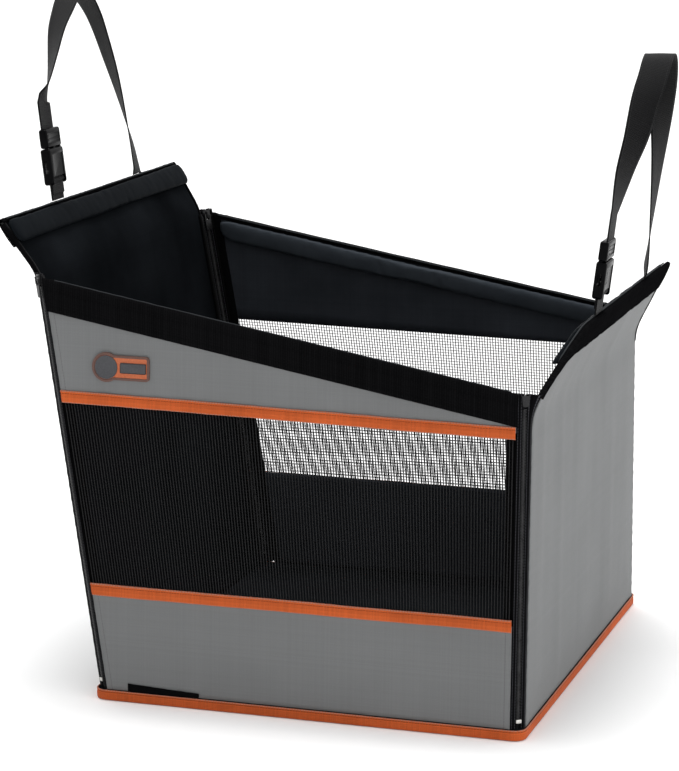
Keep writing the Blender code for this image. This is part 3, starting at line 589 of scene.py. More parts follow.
class Wall:
    """A wall's own frame: x along it, y up it and z out of it, from the seam it folds about."""

    def __init__(self, bearing, lean, reach, half_length, low_rate, high_rate):
        self.lean = lean
        self.half_length = half_length
        self.rates = {-1: low_rate, 1: high_rate}
        turn = Matrix.Rotation(bearing, 4, "Z")
        foot = turn @ Vector((0.0, -reach, hinge_height))
        self.matrix = Matrix.Translation(foot) @ turn @ Matrix.Rotation(math.pi / 2 + lean, 4, "X")

    def rise(self, height):
        return (height - hinge_height) / math.cos(self.lean)

    def corner(self, side, rise):
        return side * (self.half_length + self.rates[side] * rise)

    def edge(self, side, rise, offset=0.0):
        """Where the cloth ends and the corner tape begins."""
        start = self.half_length - corner_leg / math.cos(math.atan(self.rates[side]))
        return side * (start + self.rates[side] * rise - max(0.0, -offset))

    def sloping_line(self, height_at_high_end, height_at_low_end, high_side):
        """Level and slope of a line from the high end's corner to the low end's."""
        high_rise = self.rise(height_at_high_end)
        low_rise = self.rise(height_at_low_end)
        high_x = self.corner(high_side, high_rise)
        low_x = self.corner(-high_side, low_rise)
        slope = (low_rise - high_rise) / (low_x - high_x)
        return high_rise - slope * high_x, slope

    def meet(self, side, line, offset=0.0, drop=0.0):
        """Where a line across the wall, lowered by drop, meets the cloth's side edge."""
        level, slope = line
        start = self.edge(side, 0.0, offset)
        rate = side * self.rates[side]
        along = (start + rate * (level - drop)) / (1 - rate * slope)
        return Vector((along, level - drop + slope * along))


high_rate = math.tan(high_lean) * math.cos(long_lean)
long_walls = {
    "near": Wall(0.0, long_lean, base_half_y, base_half_x, high_rate, 0.0),
    "far": Wall(math.pi, long_lean, base_half_y, base_half_x, 0.0, high_rate),
}
high_sides = {"near": -1, "far": 1}


def seam_puckers(distance, run, seed):
    """Small gathers along a sewn edge, which die out a finger's width from it."""
    wave = math.sin(run * pucker_rate + 4.0 * ripple_at(run * 20.0, seed, 0.5))
    wave += 0.6 * ripple_at(run * 130.0, seed, 9.0)
    return pucker_height * max(wave, 0.0) * ease(distance, *pucker_reach)


def wall_panel(name, wall, lines, drops, offset, facing, relief, material, seed):
    """A flat panel between two lines across a wall, with its face at an offset from the wall."""
    mitre = 0.0 if facing > 0 else -lining_back
    corners = [wall.meet(side, line, mitre, drop) for line, drop in zip(lines, drops) for side in (-1, 1)]
    width = (corners[1] - corners[0]).length
    height = (corners[2] - corners[0]).length
    columns = max(round(width / cloth_column), 4)
    rows = max(round(height / cloth_row), 4)

    def place(along, up):
        share = along if facing > 0 else 1.0 - along
        spot = corners[0].lerp(corners[1], share).lerp(corners[2].lerp(corners[3], share), up)
        side = min(share, 1.0 - share) * width
        edge = min(side, min(up, 1.0 - up) * height)
        swell = relief * (0.5 + 0.7 * ripple_at(spot.x * 9.0, spot.y * 3.5, seed))
        lift = max(swell, 0.0) * ease(edge, 0.0, swell_margin)
        if facing > 0:
            lift += seam_puckers(side, spot.y, seed)
        local = Vector((spot.x, spot.y, offset + facing * lift))
        return wall.matrix @ local, (spot.x, spot.y), (spot.y, side)

    return cloth_sheet(name, columns, rows, place, cloth_thickness, material)


band_inset = 0.0039
window_facing = 0.0072
wall_swell = 0.0010
wall_lining_swell = 0.0022
foot_rise = 0.0003
wall_seeds = {"near": 2.0, "far": 6.0}
window_lines = {}
rim_lines = {}
for side_name, wall in long_walls.items():
    high_side = high_sides[side_name]
    foot_line = (foot_rise, 0.0)
    low_line = (wall.rise(window_low), 0.0)
    high_line = wall.sloping_line(window_high_at_high_end, window_high_at_low_end, high_side)
    rim_line = wall.sloping_line(high_corner, low_corner, high_side)
    window_lines[side_name] = (low_line, high_line)
    rim_lines[side_name] = rim_line
    seed = wall_seeds[side_name]
    for part_name, lines, drops, facings in (
            ("lower", (foot_line, low_line), (0.0, cloth_gap), (0.0, -window_facing)),
            ("upper", (high_line, rim_line), (-cloth_gap, band_inset), (window_facing, band_inset))):
        cloth = wall_panel(f"{side_name}_{part_name}_cloth", wall, lines, drops, 0.0, 1, wall_swell,
                           grey_cloth_finish, seed)
        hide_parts(f"{side_name}_{part_name}_panel")
        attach(cloth, f"{side_name}_wall")
        # The far wall takes the paler satin, painted light.
        satin_finish = far_lining_painted_lit_finish if side_name == "far" else lining_cloth_finish
        satin = wall_panel(f"{side_name}_{part_name}_satin", wall, lines, facings, -lining_back, -1,
                           wall_lining_swell, satin_finish, seed + 1.0)
        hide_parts(f"{side_name}_{part_name}_lining")
        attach(satin, f"{side_name}_wall")


# Mesh windows
# Black knitted netting of thin round strands about three and a half millimetres apart, upright
# strands in front of level ones, caught under the orange trims and in the corner seams.

strand_pitch = 0.0034
upright_strand = 0.00058
level_strand = 0.00036
strand_depth = 0.0005
level_strand_setback = 0.00035
strand_relief = 0.0001
net_sag = 0.0025
net_drift = 0.0010
upright_steps = 16
level_steps = 40
net_seeds = {"near": 11.0, "far": 15.0}
strand_grain = (900.0, 2.0)

# The same black netting in two tones: upright strands painted paler, as painted light on the strands in
# front, and level ones darker, as painted shade on those set behind.
lit_upright_strand_finish = grained_finish("black_upright_strand_painted_lit", (0.0180, 0.0180, 0.0185), (0.0420, 0.0420, 0.0430),
                                strand_grain, strand_relief, 0.6, 0.0)
shaded_level_strand_finish = grained_finish("black_level_strand_painted_shade", (0.0030, 0.0030, 0.0034), (0.0090, 0.0090, 0.0098),
                              strand_grain, strand_relief, 0.6, 0.0)


def add_sides(shape, rings, finish_index=0):
    """A smooth skin round rings of points, open at both ends."""
    made = [[shape.verts.new(point) for point in ring] for ring in rings]
    count = len(made[0])
    for before, after in zip(made, made[1:]):
        for k in range(count):
            j = (k + 1) % count
            face = shape.faces.new((before[k], before[j], after[j], after[k]))
            face.smooth = True
            face.material_index = finish_index
    return made


def add_bar(shape, rings, finish_index=0):
    """A smooth skin round rings of points, with a flat face at each end."""
    made = add_sides(shape, rings, finish_index)
    shape.faces.new(made[0][::-1])
    shape.faces.new(made[-1])


def add_strand(shape, points, half_width, across, out, finish_index):
    """A thin four-sided strand through the points."""
    steps = (across * half_width, out * half_width, -across * half_width, -out * half_width)
    add_bar(shape, [[point + step for step in steps] for point in points], finish_index)


for side_name, wall in long_walls.items():
    low_left, low_right, high_left, high_right = [
        wall.meet(side, line, -lining_back) for line in window_lines[side_name] for side in (-1, 1)]
    seed = net_seeds[side_name]

    def net_point(a, b, setback=0.0):
        spot = low_left.lerp(low_right, a).lerp(high_left.lerp(high_right, a), b)
        slack = 16.0 * a * (1.0 - a) * b * (1.0 - b)
        sag = 0.25 * net_sag * slack * ripple_at(spot.x * 8.0, spot.y * 8.0, seed)
        drift = net_drift * slack * ripple_at(spot.x * 14.0, spot.y * 9.0, seed + 2.0)
        return wall.matrix @ Vector((spot.x + drift, spot.y, sag - strand_depth - setback))

    shape = bmesh.new()
    sideways, upwards, out = wall.matrix.to_3x3().transposed()
    uprights = round((high_right - high_left).length / strand_pitch)
    levels = round((high_left - low_left).length / strand_pitch)
    for i in range(uprights + 1):
        path = [net_point(i / uprights, j / upright_steps) for j in range(upright_steps + 1)]
        add_strand(shape, path, upright_strand, sideways, out, 0)
    for j in range(levels + 1):
        path = [net_point(i / level_steps, j / levels, level_strand_setback) for i in range(level_steps + 1)]
        add_strand(shape, path, level_strand, -upwards, out, 1)
    bmesh.ops.recalc_face_normals(shape, faces=shape.faces)
    netting = new_piece(f"{side_name}_netting", shape, lit_upright_strand_finish, shaded_level_strand_finish)
    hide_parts(f"{side_name}_net")
    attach(netting, f"{side_name}_wall")


# Orange trims
# A woven tape covers the raw edge of the cloth above and below each window. It is folded over
# along its top edge, stitched below the fold, and slightly gathered by the sewing.

trim_profile = (
    (-0.00675, 0.0004),
    (-0.00650, 0.0013),
    (-0.00500, 0.0017),
    (-0.00100, 0.0019),
    (0.00260, 0.0016),
    (0.00350, 0.0013),
    (0.00420, 0.0017),
    (0.00550, 0.0023),
    (0.00650, 0.0019),
    (0.00700, 0.0006),
)
trim_stitch_rows = (0.0036,)
# Paler dashed rows along both folded edges of the trim.
trim_pale_edge_rows = (0.0060, 0.0066, -0.0060, -0.0066)
trim_thickness = 0.0004
trim_gather = 0.00045
trim_sway = 0.0006
trim_ruffle = 0.00025
trim_steps = 200
trim_seeds = {"near": (1.0, 8.0), "far": (21.0, 28.0)}
trim_finish = orange_finish("orange_window_tape", trim_stitch_rows, trim_pale_edge_rows)


def trim_place(wall, line, seed):
    def place(along, up):
        index = round(up * (len(trim_profile) - 1))
        lift, reach = trim_profile[index]
        spot = wall.meet(-1, line, 0.0, -lift).lerp(wall.meet(1, line, 0.0, -lift), along)
        ripple = ripple_at(spot.x * 70.0, seed, lift * 60.0)
        slow = ripple_at(spot.x * 16.0, seed, 5.5)
        raised = 0.0 if index in (0, len(trim_profile) - 1) else trim_gather * ripple
        height = trim_sway * slow + trim_ruffle * ripple
        local = Vector((spot.x, spot.y + height, reach + raised))
        return wall.matrix @ local, (spot.x, lift)

    return place


for side_name, wall in long_walls.items():
    for part_name, line, seed in zip(("lower", "upper"), window_lines[side_name], trim_seeds[side_name]):
        trim = cloth_sheet(f"{side_name}_{part_name}_tape", trim_steps, len(trim_profile) - 1,
                           trim_place(wall, line, seed), trim_thickness, trim_finish)
        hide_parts(f"{side_name}_{part_name}_trim")
        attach(trim, f"{side_name}_wall")


# Padded rims
# A broad ribbed webbing is sewn over the top edge of each long wall. Behind it lies a roll of
# padding in satin cloth, with a thin piping in the seam between the two, its satin painted grey as a
# highlight.

rim_profile = (
    (-0.0345, 0.0006),
    (-0.0343, 0.0015),
    (-0.0300, 0.0018),
    (-0.0230, 0.0023),
    (-0.0150, 0.0024),
    (-0.0080, 0.0021),
    (-0.0030, 0.0016),
    (-0.0010, 0.0010),
    (0.0000, -0.0002),
    (0.0001, -0.0020),
    (-0.0004, -0.0038),
    (-0.0016, -0.0048),
    (-0.0050, -0.0052),
)
rib_pitch = (0.0026, 0.0008)
rib_relief = 0.00028
rim_roll = (-0.0170, 0.0125, -0.0087, 0.0043)
rim_swell = 0.0014
rim_thickness = 0.0010
rim_low_ruffle = 0.0022
rim_low_reach = (0.050, 0.004)
rim_high_ruffle = 0.0008
rim_high_reach = (0.035, 0.004)
rim_sway = 0.0005
rim_grain = 0.0004
rim_start_share = 0.004
rim_run_share = 0.992
rim_steps = 260
rim_seeds = {"near": 31.0, "far": 37.0}
roll_steps = 150
roll_sides = 24
piping_steps = 180
piping_radius = 0.0009
piping_place = (-0.0007, -0.0060)
piping_turns = [k * math.pi / 4 for k in range(8)]
black_thread = (0.0042, 0.0042, 0.0047)
rib_thread = (0.0062, 0.0062, 0.0067)
padding_cell = 0.0027
padding_steps = 20
padding_pressure = 4.0
padding_shrink = -0.05
padding_relief = 0.00008

# Its strong contrast paints bright highlights on the ribs' crowns.
webbing_finish = woven_finish("black_ribbed_webbing", rib_thread, rib_pitch, rib_relief, 0.75, tone_and_crown_light_contrast=0.80)


def padding_finish(name, dark, pale):
    """Satin over padding: broad soft patches of tone, with a very fine grain in its surface."""
    return grained_finish(name, dark, pale, (30.0, 5.0), padding_relief, 0.42, 0.004, fine=(1400.0, 2.0))


near_padding_finish = padding_finish("black_padding_satin", (0.0045, 0.0055, 0.0068),
                                     (0.0085, 0.0102, 0.0122))
# The far rim's roll is a paler copy of the black padding satin: painted light.
far_padding_painted_lit_finish = padding_finish("black_far_padding_painted_lit", (0.0300, 0.0360, 0.0435),
                                    (0.0600, 0.0690, 0.0810))
# The piping's grey is a painted highlight: light caught along the seam's lip, painted into the satin.
piping_highlight_finish = padding_finish("piping_satin_painted_highlight", (0.020, 0.022, 0.024), (0.060, 0.064, 0.068))


def closed_skin(name, rings, material):
    """A tube through rings of points, closed at both ends."""
    shape = bmesh.new()
    made = add_sides(shape, rings)
    for ring in (made[0], made[-1]):
        middle = shape.verts.new(sum((vertex.co for vertex in ring), Vector()) / len(ring))
        for before, after in zip(ring, ring[1:] + ring[:1]):
            shape.faces.new((before, after, middle)).smooth = True
    bmesh.ops.recalc_face_normals(shape, faces=shape.faces)
    return new_piece(name, shape, material)


def roll_rings(spot, section, end_share, seed):
    """Rings of a padding roll. Spot gives a point for the share along, the height and the depth."""
    height, half_height, depth, half_depth = section
    rings = []
    for i in range(roll_steps + 1):
        share = i / roll_steps
        end = min(min(share, 1.0 - share) / end_share, 1.0)
        full = 0.45 + 0.55 * math.sqrt(end * (2.0 - end))
        ring = []
        for k in range(roll_sides):
            turn = 2 * math.pi * k / roll_sides
            a, b = (math.copysign(abs(part) ** 0.8, part) for part in (math.cos(turn), math.sin(turn)))
            crease = 1.0 + 0.10 * ripple_at(share * 46.0, seed, b * 0.7)
            crease += 0.07 * ripple_at(share * 120.0, seed + 3.0, b * 1.1)
            ring.append(spot(share, height + half_height * full * b * (0.97 + 0.03 * crease),
                             depth + half_depth * full * a * crease))
        rings.append(ring)
    return rings


def stuff(piece, swell):
    """Swells a closed skin like cloth drawn tight over padding, no point going further than swell."""
    modify(piece, "REMESH", mode="VOXEL", voxel_size=padding_cell)
    start = [vertex.co.copy() for vertex in piece.data.vertices]
    stuffing = piece.modifiers.new("stuffing", "CLOTH")
    stuffing.settings.use_pressure = True
    stuffing.settings.uniform_pressure_force = padding_pressure
    stuffing.settings.shrink_min = padding_shrink
    stuffing.settings.effector_weights.gravity = 0.0
    stuffing.point_cache.frame_start = 1
    stuffing.point_cache.frame_end = padding_steps
    for step in range(1, padding_steps + 1):
        scene.frame_set(step)
    bpy.ops.object.modifier_apply(modifier="stuffing")
    scene.frame_set(1)
    for vertex, rest in zip(piece.data.vertices, start):
        move = vertex.co - rest
        if move.length > swell:
            vertex.co = rest + move * (swell / move.length)
    modify(piece, "SUBSURF", levels=1, render_levels=1)
    bpy.ops.object.shade_smooth()


def profile_span(profile):
    """Lengths along a cross-section up to each of its points."""
    lengths = [0.0]
    for before, after in zip(profile, profile[1:]):
        lengths.append(lengths[-1] + math.dist(before, after))
    return lengths


def rim_spot(wall, line, share, rise, depth):
    low, high = (wall.meet(side, line, min(depth, 0.0), -rise) for side in (-1, 1))
    spot = low.lerp(high, share)
    return Vector((spot.x, spot.y, depth))


def rim_place(wall, line, low_end_side, seed):
    lengths = profile_span(rim_profile)

    def place(along, up):
        index = round(up * (len(rim_profile) - 1))
        rise, depth = rim_profile[index]
        share = 1.008 * along - 0.004
        local = rim_spot(wall, line, share, rise, depth)
        local.z -= 0.0016 * ease(abs(share - 0.5), 0.500, 0.504)
        from_low_end = (1.0 - along if low_end_side > 0 else along) * 2 * wall.half_length
        from_high_end = 2 * wall.half_length - from_low_end
        ruffle = (rim_low_ruffle * ease(from_low_end, *rim_low_reach)
                  + rim_high_ruffle * ease(from_high_end, *rim_high_reach))
        wave = ripple_at(local.x * 190.0, seed, 0.0)
        slow = ripple_at(local.x * 22.0, seed, 3.0)
        local.y += ease(rise, -0.012, 0.0) * (ruffle * wave + rim_sway * slow)
        if depth > 0.0012:
            fine = ripple_at(local.x * 90.0, local.y * 40.0, seed)
            local.z += rim_grain * fine + rim_sway * slow + 0.4 * ruffle * max(wave, 0.0)
        return wall.matrix @ local, (local.x, lengths[index])

    return place


for side_name, wall in long_walls.items():
    line = rim_lines[side_name]
    seed = rim_seeds[side_name]
    band = cloth_sheet(f"{side_name}_rim_webbing", rim_steps, len(rim_profile) - 1,
                       rim_place(wall, line, -high_sides[side_name], seed), rim_thickness, webbing_finish)
    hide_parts(f"{side_name}_rim_band")
    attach(band, f"{side_name}_wall")

    def roll_spot(share, rise, depth):
        return wall.matrix @ rim_spot(wall, line, rim_start_share + rim_run_share * share, rise, depth)

    # The far rim's roll takes the paler padding satin, painted light.
    roll = closed_skin(f"{side_name}_rim_roll", roll_rings(roll_spot, rim_roll, 0.035, seed),
                       far_padding_painted_lit_finish if side_name == "far" else near_padding_finish)
    stuff(roll, rim_swell)
    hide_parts(f"{side_name}_rim_pad")
    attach(roll, f"{side_name}_wall")

    rings = []
    for i in range(piping_steps + 1):
        share = rim_start_share + rim_run_share * i / piping_steps
        wobble = 0.0004 * ripple_at(share * 40.0, seed, 1.0)
        middle = rim_spot(wall, line, share, piping_place[0] + wobble, piping_place[1])
        rings.append([wall.matrix @ (middle + piping_radius * Vector((0.0, math.cos(turn), math.sin(turn))))
                      for turn in piping_turns])
    piping = closed_skin(f"{side_name}_rim_piping", rings, piping_highlight_finish)
    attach(piping, f"{side_name}_wall")


# Patch
# A moulded rubber patch sewn on the near wall's upper panel: a disc with a bar out of its side.
# A raised brown border runs round both. The field is orange, with a plain dark grey button on the
# disc and a plain dark grey stripe along the bar.

patch_inset = 0.0631
patch_clearance = 0.0196
patch_radius = 0.0162
patch_length = 0.0660
patch_bar_height = 0.0270
patch_bar_round = 0.0040
patch_thickness = 0.0022
patch_border = 0.0026
border_shares = (0.45, 0.55)
patch_sink = 0.0007
patch_step = 0.0002
patch_relief = 0.0008
patch_merge = 0.00002
patch_flat_angle = 0.01
upward_least = 0.9
patch_edge_round = 0.00020
disc_sides = 64
button_inset = 0.0032
button_rim = 0.0011
button_sink = 0.0003
stripe_height = 0.0112
stripe_gap = 0.0006
stripe_round = 0.0012
rubber_relief = 0.00006
smooth_angle = math.radians(35.0)
upright_least = 0.0001

wall = long_walls["near"]
level, slope = rim_lines["near"]
patch_top = rim_profile[0][0] - patch_clearance
patch_start = wall.corner(-1, wall.rise(high_corner) + patch_top) + patch_inset
patch_middle = level + slope * (patch_start + patch_length) + patch_top - patch_radius
patch_centre = patch_start + patch_radius
bar_start = patch_centre + patch_radius * 0.3
bar_end = patch_start + patch_length
stripe_start = patch_centre + patch_radius
stripe_end = bar_end - button_inset - stripe_gap


def rubber_finish(name, colour, dark):
    """Moulded rubber: fine grain, darker where dust gathers and paler where it is rubbed."""
    return grained_finish(name, dark, colour, (700.0, 5.0), rubber_relief, (0.45, 0.70), 0.35, (0.35, 0.65))


def pick(piece, kind, wanted):
    """Opens the piece for editing with only the wanted edges or faces selected."""
    select_only(piece)
    bpy.ops.object.mode_set(mode="EDIT")
    bpy.ops.mesh.select_mode(type=kind)
    bpy.ops.mesh.select_all(action="DESELECT")
    bpy.ops.object.mode_set(mode="OBJECT")
    for part in piece.data.edges if kind == "EDGE" else piece.data.polygons:
        part.select = wanted(part)
    bpy.ops.object.mode_set(mode="EDIT")


def moulded_block(name, spans, edge_round=0.0, steps=6, rounded=lambda a, b: True):
    """A block between three pairs of limits. Its edges are rounded, or only those that go from
    corner to corner as wanted."""
    bpy.ops.object.select_all(action="DESELECT")
    middle = [(low + high) / 2 for low, high in spans]
    bpy.ops.mesh.primitive_cube_add(size=1.0, location=middle, scale=[high - low for low, high in spans])
    block = bpy.context.object
    block.name = name
    bpy.ops.object.transform_apply(location=True, rotation=False, scale=True)
    if edge_round:
        pick(block, "EDGE", lambda edge: rounded(*(block.data.vertices[i].co for i in edge.vertices)))
        bpy.ops.mesh.bevel(offset=edge_round, segments=steps)
        bpy.ops.object.mode_set(mode="OBJECT")
    return block


def disc(radius, depth, height):
    """A round plate round the patch's middle, between two heights."""
    bpy.ops.object.select_all(action="DESELECT")
    bpy.ops.mesh.primitive_cylinder_add(vertices=disc_sides, radius=radius, depth=depth,
                                        location=(patch_centre, patch_middle, height + depth / 2))
    plate = bpy.context.object
    bpy.ops.object.transform_apply(location=True, rotation=False, scale=True)
    return plate


def join_up(piece, others):
    """Makes one piece of several."""
    select_only(piece)
    for other in others:
        other.select_set(True)
    bpy.ops.object.join()


def round_off(piece, width, steps=2, angle=40.0):
    """Rounds the piece's sharp edges off and shades the rest smooth."""
    modify(piece, "BEVEL", width=width, segments=steps, limit_method="ANGLE", angle_limit=math.radians(angle))
    bpy.ops.object.shade_smooth_by_angle(angle=smooth_angle)


def bar_spans(start, end, height, low, high):
    """Limits of a bar along the patch's middle line."""
    return (start, end), (patch_middle - height / 2, patch_middle + height / 2), (low, high)


def at_bar_end(a, b):
    """Whether an edge is an upright one at the bar's free end."""
    return abs(a.z - b.z) > upright_least and a.x > bar_end - patch_bar_round


patch = disc(patch_radius, patch_thickness, cloth_gap)
patch.name = "moulded_patch"
bar_limits = bar_spans(bar_start, bar_end, patch_bar_height, cloth_gap, cloth_gap + patch_thickness)
patch_bar = moulded_block("patch_bar", bar_limits, patch_bar_round, rounded=at_bar_end)
modify(patch, "BOOLEAN", operation="UNION", solver="EXACT", object=patch_bar)
bpy.data.objects.remove(patch_bar)
border_rubber = rubber_finish("patch_border_rubber", (0.150, 0.074, 0.056), (0.105, 0.056, 0.046))
field_rubber = rubber_finish("patch_field_rubber", (0.640, 0.170, 0.066), (0.500, 0.125, 0.050))
raised_rubber = rubber_finish("patch_raised_rubber", (0.072, 0.073, 0.080), (0.050, 0.051, 0.056))
patch.data.materials.append(border_rubber)
patch.data.materials.append(field_rubber)
merge_doubles(patch, patch_merge)
pick(patch, "FACE", lambda face: True)
bpy.ops.mesh.dissolve_limited(angle_limit=patch_flat_angle)
bpy.ops.object.mode_set(mode="OBJECT")
pick(patch, "FACE", lambda face: face.normal.z > upward_least)
bpy.ops.mesh.inset(thickness=patch_border * border_shares[0])
bpy.ops.mesh.inset(thickness=patch_border * border_shares[1], depth=0.0)
patch.active_material_index = 1
bpy.ops.mesh.inset(thickness=patch_step, depth=-patch_sink)
bpy.ops.object.material_slot_assign()
bpy.ops.object.mode_set(mode="OBJECT")

patch_level = cloth_gap + patch_thickness - patch_sink
button = disc(patch_radius - button_inset, patch_relief, patch_level)
button.data.materials.append(raised_rubber)
pick(button, "FACE", lambda face: face.normal.z > upward_least)
bpy.ops.mesh.inset(thickness=button_rim)
bpy.ops.mesh.inset(thickness=patch_step, depth=-button_sink)
bpy.ops.object.mode_set(mode="OBJECT")
stripe_limits = bar_spans(stripe_start, stripe_end, stripe_height, patch_level, patch_level + patch_relief)
stripe = moulded_block("stripe", stripe_limits, stripe_round, 5)
stripe.data.materials.append(raised_rubber)
join_up(patch, (button, stripe))
round_off(patch, patch_edge_round)
patch.data.transform(wall.matrix)
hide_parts("patch")
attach(patch, "near_wall")


# Woven tab
# A short flat piece of black woven tape, caught a little askew in the near wall's bottom seam.

tab_inset = 0.0392
tab_length = 0.0826
tab_rise = 0.0020
tab_tuck = 0.0015
tab_high_side = 0.0068
tab_low_side = 0.0030
tab_thickness = 0.0008
tab_columns = 60
tab_rows = 8
tab_pitch = (0.0013, 0.0010)
tab_relief = 0.00012

tab_start = wall.corner(-1, tab_rise) + tab_inset
tab_finish = woven_finish("black_woven_tab", black_thread, tab_pitch, tab_relief, 0.7, 0.05, 0.5)


def tab_place(along, up):
    height = tab_high_side + (tab_low_side - tab_high_side) * along
    wave = 0.0003 * ripple_at(along * 9.0, up * 1.5, 2.0)
    curl = 0.0007 * ease(up, 0.5, 1.0) * (0.6 + ripple_at(along * 4.0, 0.3, 8.0))
    x = tab_start + tab_length * along
    y = tab_rise - tab_tuck + (height + tab_tuck) * up
    z = cloth_gap + tab_thickness + max(wave, 0.0) + max(curl, 0.0)
    return wall.matrix @ Vector((x, y + wave * up, z)), (x, y)


tab = cloth_sheet("bottom_seam_tab", tab_columns, tab_rows, tab_place, tab_thickness, tab_finish)
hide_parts("woven_tab")
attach(tab, "near_wall")


# End walls
# Each is one piece of grey woven cloth with a satin lining behind, cut taller than the corners so
# that it ends in a flap that flares outwards. The cloth hangs in long shallow upright folds.

flap_flare = math.radians(25.0)
flap_bend = 0.0140
high_flap_length = 0.0690
low_flap_kink = 0.3450
low_flap_length = 0.0900
high_flap_setback = 0.0195
low_flap_far_setback = 0.0145
low_flap_near_setback = 0.1105
flap_tuck = 0.0026
end_folds = 0.0030
end_lining_folds = 0.0040
end_margin = 0.05
end_columns = 120
end_rows = 110
end_seeds = {"high": 51.0, "low": 57.0}
band_lining_gap = 0.0039


class EndWall:
    """An end wall's surface: straight up to a bend, then flared. Sides are -1 and 1 along it."""

    def __init__(self, wall, kink_height, zip_height, flap_length, reaches, powers):
        self.wall = wall
        self.kink = wall.rise(kink_height)
        self.hold = wall.rise(zip_height)
        self.top = self.kink + flap_length
        self.reaches = reaches
        self.powers = powers

    def point(self, along, distance, offset):
        start = self.kink - flap_bend
        past = min(max(distance - start, 0.0), 2 * flap_bend)
        radius = 2 * flap_bend / flap_flare
        tilt = past / radius
        rest = max(distance - start - 2 * flap_bend, 0.0)
        height = min(distance, start) + radius * math.sin(tilt) + rest * math.cos(tilt)
        out = radius * (1.0 - math.cos(tilt)) + rest * math.sin(tilt)
        local = Vector((along, height - offset * math.sin(tilt), out + offset * math.cos(tilt)))
        return self.wall.matrix @ local

    def reach(self, side, distance, offset=0.0):
        start = self.wall.edge(side, min(distance, self.hold), offset)
        if distance <= self.kink:
            return start
        share = min((distance - self.kink) / (self.top - self.kink), 1.0)
        if self.hold > self.kink:
            share *= ease(distance, self.hold - 0.003, self.hold + 0.018) ** (1.0 / self.powers[side])
        goal = side * (self.reaches[side] - max(0.0, -offset))
        return start + (goal - start) * share ** self.powers[side]


end_rate = math.tan(long_lean)
leant_rate = end_rate * math.cos(high_lean)
high_wall = Wall(-math.pi / 2, high_lean, base_half_x, base_half_y, leant_rate, leant_rate)
low_wall = Wall(math.pi / 2, 0.0, base_half_x, base_half_y, end_rate, end_rate)
high_reaches = {-1: base_half_y - high_flap_setback, 1: base_half_y - high_flap_setback}
low_reaches = {-1: base_half_y - low_flap_near_setback, 1: base_half_y - low_flap_far_setback}
end_walls = {
    "high": EndWall(high_wall, high_corner, high_corner, high_flap_length, high_reaches, {-1: 1, 1: 1}),
    "low": EndWall(low_wall, low_flap_kink, low_corner, low_flap_length, low_reaches, {-1: 2, 1: 1}),
}


def upright_folds(along, distance, seed):
    """Long shallow upright folds of loose cloth, from 0 to 1."""
    broad = ripple_at(along * 13.0 + 0.8 * ripple_at(distance * 5.0, seed, 0.0), distance * 1.6, seed)
    narrow = ripple_at(along * 34.0, distance * 3.5, seed + 5.0)
    return min(max(0.45 + 0.75 * broad + 0.30 * narrow, 0.0), 1.0)


def end_cloth(name, end, offset, facing, depth, material, seed):
    """One layer of an end wall with its flap, facing outwards or inwards."""
    bottom = foot_rise
    top = end.top - band_lining_gap

    def place(along, up):
        distance = bottom + (top - bottom) * up
        share = along if facing > 0 else 1.0 - along
        mitre = 0.0 if facing > 0 else -lining_back
        tucked = flap_tuck * ease(distance, end.kink - 0.012, end.kink + 0.015)
        low = end.reach(-1, distance, mitre) + tucked
        high = end.reach(1, distance, mitre) - tucked
        x = low + (high - low) * share
        side = min(share, 1.0 - share) * (high - low)
        edge = min(side, min(up, 1.0 - up) * (top - bottom))
        lift = depth * upright_folds(x, distance, seed) * ease(edge, 0.0, end_margin)
        if facing > 0:
            lift += seam_puckers(side, distance, seed)
        return end.point(x, distance, offset + facing * lift), (x, distance), (distance, side)

    return cloth_sheet(name, end_columns, end_rows, place, cloth_thickness, material)


for end_name, end in end_walls.items():
    seed = end_seeds[end_name]
    cloth = end_cloth(f"{end_name}_end_cloth", end, 0.0, 1, end_folds, grey_cloth_finish, seed)
    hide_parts(f"{end_name}_end_panel")
    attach(cloth, f"{end_name}_wall")
    satin = end_cloth(f"{end_name}_end_satin", end, -lining_back, -1, end_lining_folds, lining_cloth_finish,
                      seed + 2.0)
    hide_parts(f"{end_name}_end_lining")
    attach(satin, f"{end_name}_wall")


# Flap bands
# The same ribbed webbing and padding roll finish the flaps' top edges. At the low end they run
# on down the curved near edge to the zip and get narrower; the other side edges are bound.

band_profile = (
    (-0.0340, 0.0006),
    (-0.0338, 0.0015),
    (-0.0290, 0.0019),
    (-0.0200, 0.0023),
    (-0.0100, 0.0021),
    (-0.0030, 0.0016),
    (-0.0010, 0.0010),
    (0.0000, -0.0002),
    (0.0001, -0.0020),
    (-0.0004, -0.0036),
    (-0.0018, -0.0045),
    (-0.0050, -0.0048),
)
band_roll = (-0.0190, 0.0150, -0.0078, 0.0034)
band_swell = 0.0012
piping_drop = -0.0020
edge_tape_profile = (
    (-0.0050, 0.0004),
    (-0.0046, 0.0010),
    (-0.0020, 0.0012),
    (-0.0003, 0.0008),
    (0.0004, -0.0004),
    (0.0004, -0.0028),
    (-0.0003, -0.0040),
    (-0.0020, -0.0044),
    (-0.0050, -0.0040),
)
band_seeds = {"high": 61.0, "low": 67.0}
band_roll_starts = {"high": 0.007, "low": 0.075}
side_tape_thickness = 0.0006
side_tape_start = -0.012
side_tape_stop = 0.006
side_tape_steps = 30
side_tape_columns = 60
flap_edge_steps = 90
curved_edge_steps = 40
curved_edge_tuck = 0.002
curved_edge_passes = 12
piping_setback = 0.0003


def smoothed(points, passes):
    for _ in range(passes):
        inner = [(a + b * 2 + c) / 4 for a, b, c in zip(points, points[1:], points[2:])]
        points = [points[0]] + inner + [points[-1]]
    return points


